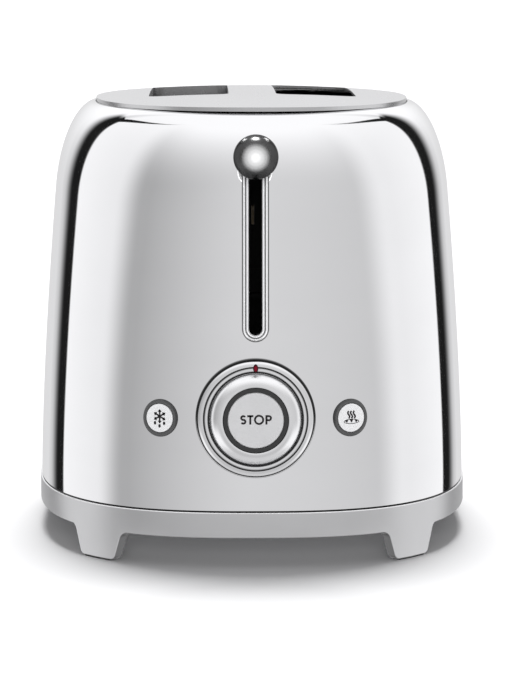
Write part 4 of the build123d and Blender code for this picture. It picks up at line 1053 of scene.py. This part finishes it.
def tent_seam(tree, away, lift):
    """1 in the tent's dark seam, 0 elsewhere."""
    inner_edge, outer_edge = seam_turn - seam_half_width, seam_turn + seam_half_width
    inner = eased(tree, away, inner_edge - seam_inner_blur, inner_edge + seam_inner_blur)
    outer = eased(tree, away, outer_edge + seam_outer_blur[0], outer_edge + seam_outer_blur[1])
    below = eased(tree, lift, seam_rise + seam_top_blur[0], seam_rise + seam_top_blur[1])
    post = node_value(tree, "MULTIPLY", node_value(tree, "MULTIPLY", inner, outer), below)

    along = node_value(tree, "DIVIDE", node_value(tree, "SUBTRACT", arch_start, away), arch_turn)
    share = add_node(tree, "ShaderNodeClamp", {"Value": along}).outputs[0]
    rise_there = node_value(tree, "MULTIPLY", node_value(tree, "POWER", share, arch_bend), arch_rise)
    gap = node_value(tree, "ABSOLUTE", node_value(
        tree, "SUBTRACT", lift, node_value(tree, "ADD", rise_there, seam_rise)))
    thinned = node_value(tree, "POWER", node_value(tree, "SUBTRACT", 1.0, share), 2.0)
    within = node_value(tree, "SUBTRACT", node_value(tree, "MULTIPLY", thinned, arch_reach), gap)
    arch = node_value(tree, "MULTIPLY", eased(tree, within, 0.0, arch_blur), eased(tree, away, *arch_end))
    return node_value(tree, "MAXIMUM", post, arch)


def studio_world():
    """White room for the camera, even light for the object, and for metal a white tent with one dark seam."""
    world = bpy.data.worlds.new("studio")
    bpy.context.scene.world = world
    world.use_nodes = True
    tree = world.node_tree
    tree.nodes.clear()
    toward = add_node(tree, "ShaderNodeTexCoord")
    axes = add_node(tree, "ShaderNodeSeparateXYZ", {"Vector": toward.outputs["Generated"]})
    before = node_value(tree, "MULTIPLY", axes.outputs["Y"], -1.0)
    turn = node_value(tree, "MULTIPLY", node_value(tree, "ARCTAN2", axes.outputs["X"], before), 180 / pi)
    lift = node_value(tree, "MULTIPLY", node_value(tree, "ARCSINE", axes.outputs["Z"]), 180 / pi)
    away = node_value(tree, "ABSOLUTE", turn)
    tent = mixed_colour(tree, tent_seam(tree, away, lift), tent_colour(tree, turn, away, lift),
                        (*grey(level_of(seam_tone)), 1))

    ray = add_node(tree, "ShaderNodeLightPath")
    even = mixed_colour(tree, ray.outputs["Is Camera Ray"], (*grey(world_light), 1), (1, 1, 1, 1))
    undiffused = node_value(tree, "LESS_THAN", ray.outputs["Diffuse Depth"], 0.5)
    mirrored = node_value(tree, "MULTIPLY", ray.outputs["Is Glossy Ray"], undiffused)
    background = add_node(tree, "ShaderNodeBackground", {
        "Color": mixed_colour(tree, mirrored, even, tent), "Strength": 1.0})
    end = add_node(tree, "ShaderNodeOutputWorld")
    tree.links.new(background.outputs["Background"], end.inputs["Surface"])


def studio_floor():
    """Pale floor: it keeps the shadow, and polished metal looks past it into the tent."""
    mesh = bpy.data.meshes.new("floor")
    corners = ((-1, -1), (1, -1), (1, 1), (-1, 1))
    mesh.from_pydata([(x * floor_reach, y * floor_reach, 0) for x, y in corners], [], [(0, 1, 2, 3)])
    floor = bpy.data.objects.new("floor", mesh)
    bpy.context.scene.collection.objects.link(floor)
    look = bpy.data.materials.new("floor")
    look.use_nodes = True
    tree = look.node_tree
    tree.nodes.clear()
    ray = add_node(tree, "ShaderNodeLightPath")
    tone = mixed_colour(tree, ray.outputs["Is Camera Ray"], (*grey(floor_paint), 1), (*grey(floor_seen), 1))
    paint = add_node(tree, "ShaderNodeBsdfDiffuse", {"Color": tone})
    clear = add_node(tree, "ShaderNodeBsdfTransparent")
    mixed = add_node(tree, "ShaderNodeMixShader", {
        0: ray.outputs["Is Glossy Ray"], 1: paint.outputs["BSDF"], 2: clear.outputs["BSDF"]})
    end = add_node(tree, "ShaderNodeOutputMaterial")
    tree.links.new(mixed.outputs["Shader"], end.inputs["Surface"])
    mesh.materials.append(look)


def receivers(name, pieces):
    """Collection that makes a lamp light these pieces alone."""
    lit = bpy.data.collections.new(name)
    for piece in pieces:
        lit.objects.link(piece)
    return lit


def sun(name, power, turn):
    """Soft sun turned about x from straight above; metal doesn't mirror it."""
    light = bpy.data.lights.new(name, "SUN")
    light.energy = power
    light.angle = sun_angle
    lamp = bpy.data.objects.new(name, light)
    bpy.context.scene.collection.objects.link(lamp)
    lamp.rotation_euler = (turn, 0, 0)
    lamp.visible_glossy = False
    return lamp


def studio_lamps():
    """Soft light from above and behind, a fill from before, and lamps for the slot's trim and the ball."""
    sun("overhead", overhead_power, -overhead_tilt)
    sun("fill", fill_power, pi / 2 - fill_height)
    trim_light = sun("trim_light", trim_power, pi / 2 - fill_height)
    trim_light.light_linking.receiver_collection = receivers("trim_lit", [slot_trim])
    ball = sum((Vector(corner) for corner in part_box("lever_ball")), Vector()) / 2
    lit = receivers("ball_lit", [nodes["lever_ball"]])
    for i, (size, power, place) in enumerate(ball_lamps):
        light = bpy.data.lights.new(f"ball_lamp_{i}", "AREA")
        light.shape = "DISK"
        light.size = size
        light.energy = power
        lamp = bpy.data.objects.new(f"ball_lamp_{i}", light)
        bpy.context.scene.collection.objects.link(lamp)
        lamp.location = ball + place
        lamp.rotation_euler = place.to_track_quat("Z", "Y").to_euler()
        lamp.visible_camera = False
        lamp.light_linking.receiver_collection = lit


def studio_camera():
    """Camera at the photograph's place, with its frame of 516 by 688."""
    lens = bpy.data.cameras.new("camera")
    lens.sensor_width = sensor_size * 1000
    lens.lens = focal_pixels / frame_height * sensor_size * 1000
    lens.shift_x = (frame_width / 2 - axis_column) / frame_height
    lens.shift_y = (horizon_row - frame_height / 2) / frame_height
    lens.clip_start = 0.05
    lens.clip_end = 100
    camera = bpy.data.objects.new("camera", lens)
    bpy.context.scene.collection.objects.link(camera)
    camera.location = camera_place
    camera.rotation_euler = (pi / 2 - camera_down, 0, -camera_left)
    bpy.context.scene.camera = camera


studio_world()
studio_floor()
studio_lamps()
studio_camera()
bpy.context.scene.view_settings.view_transform = "Standard"
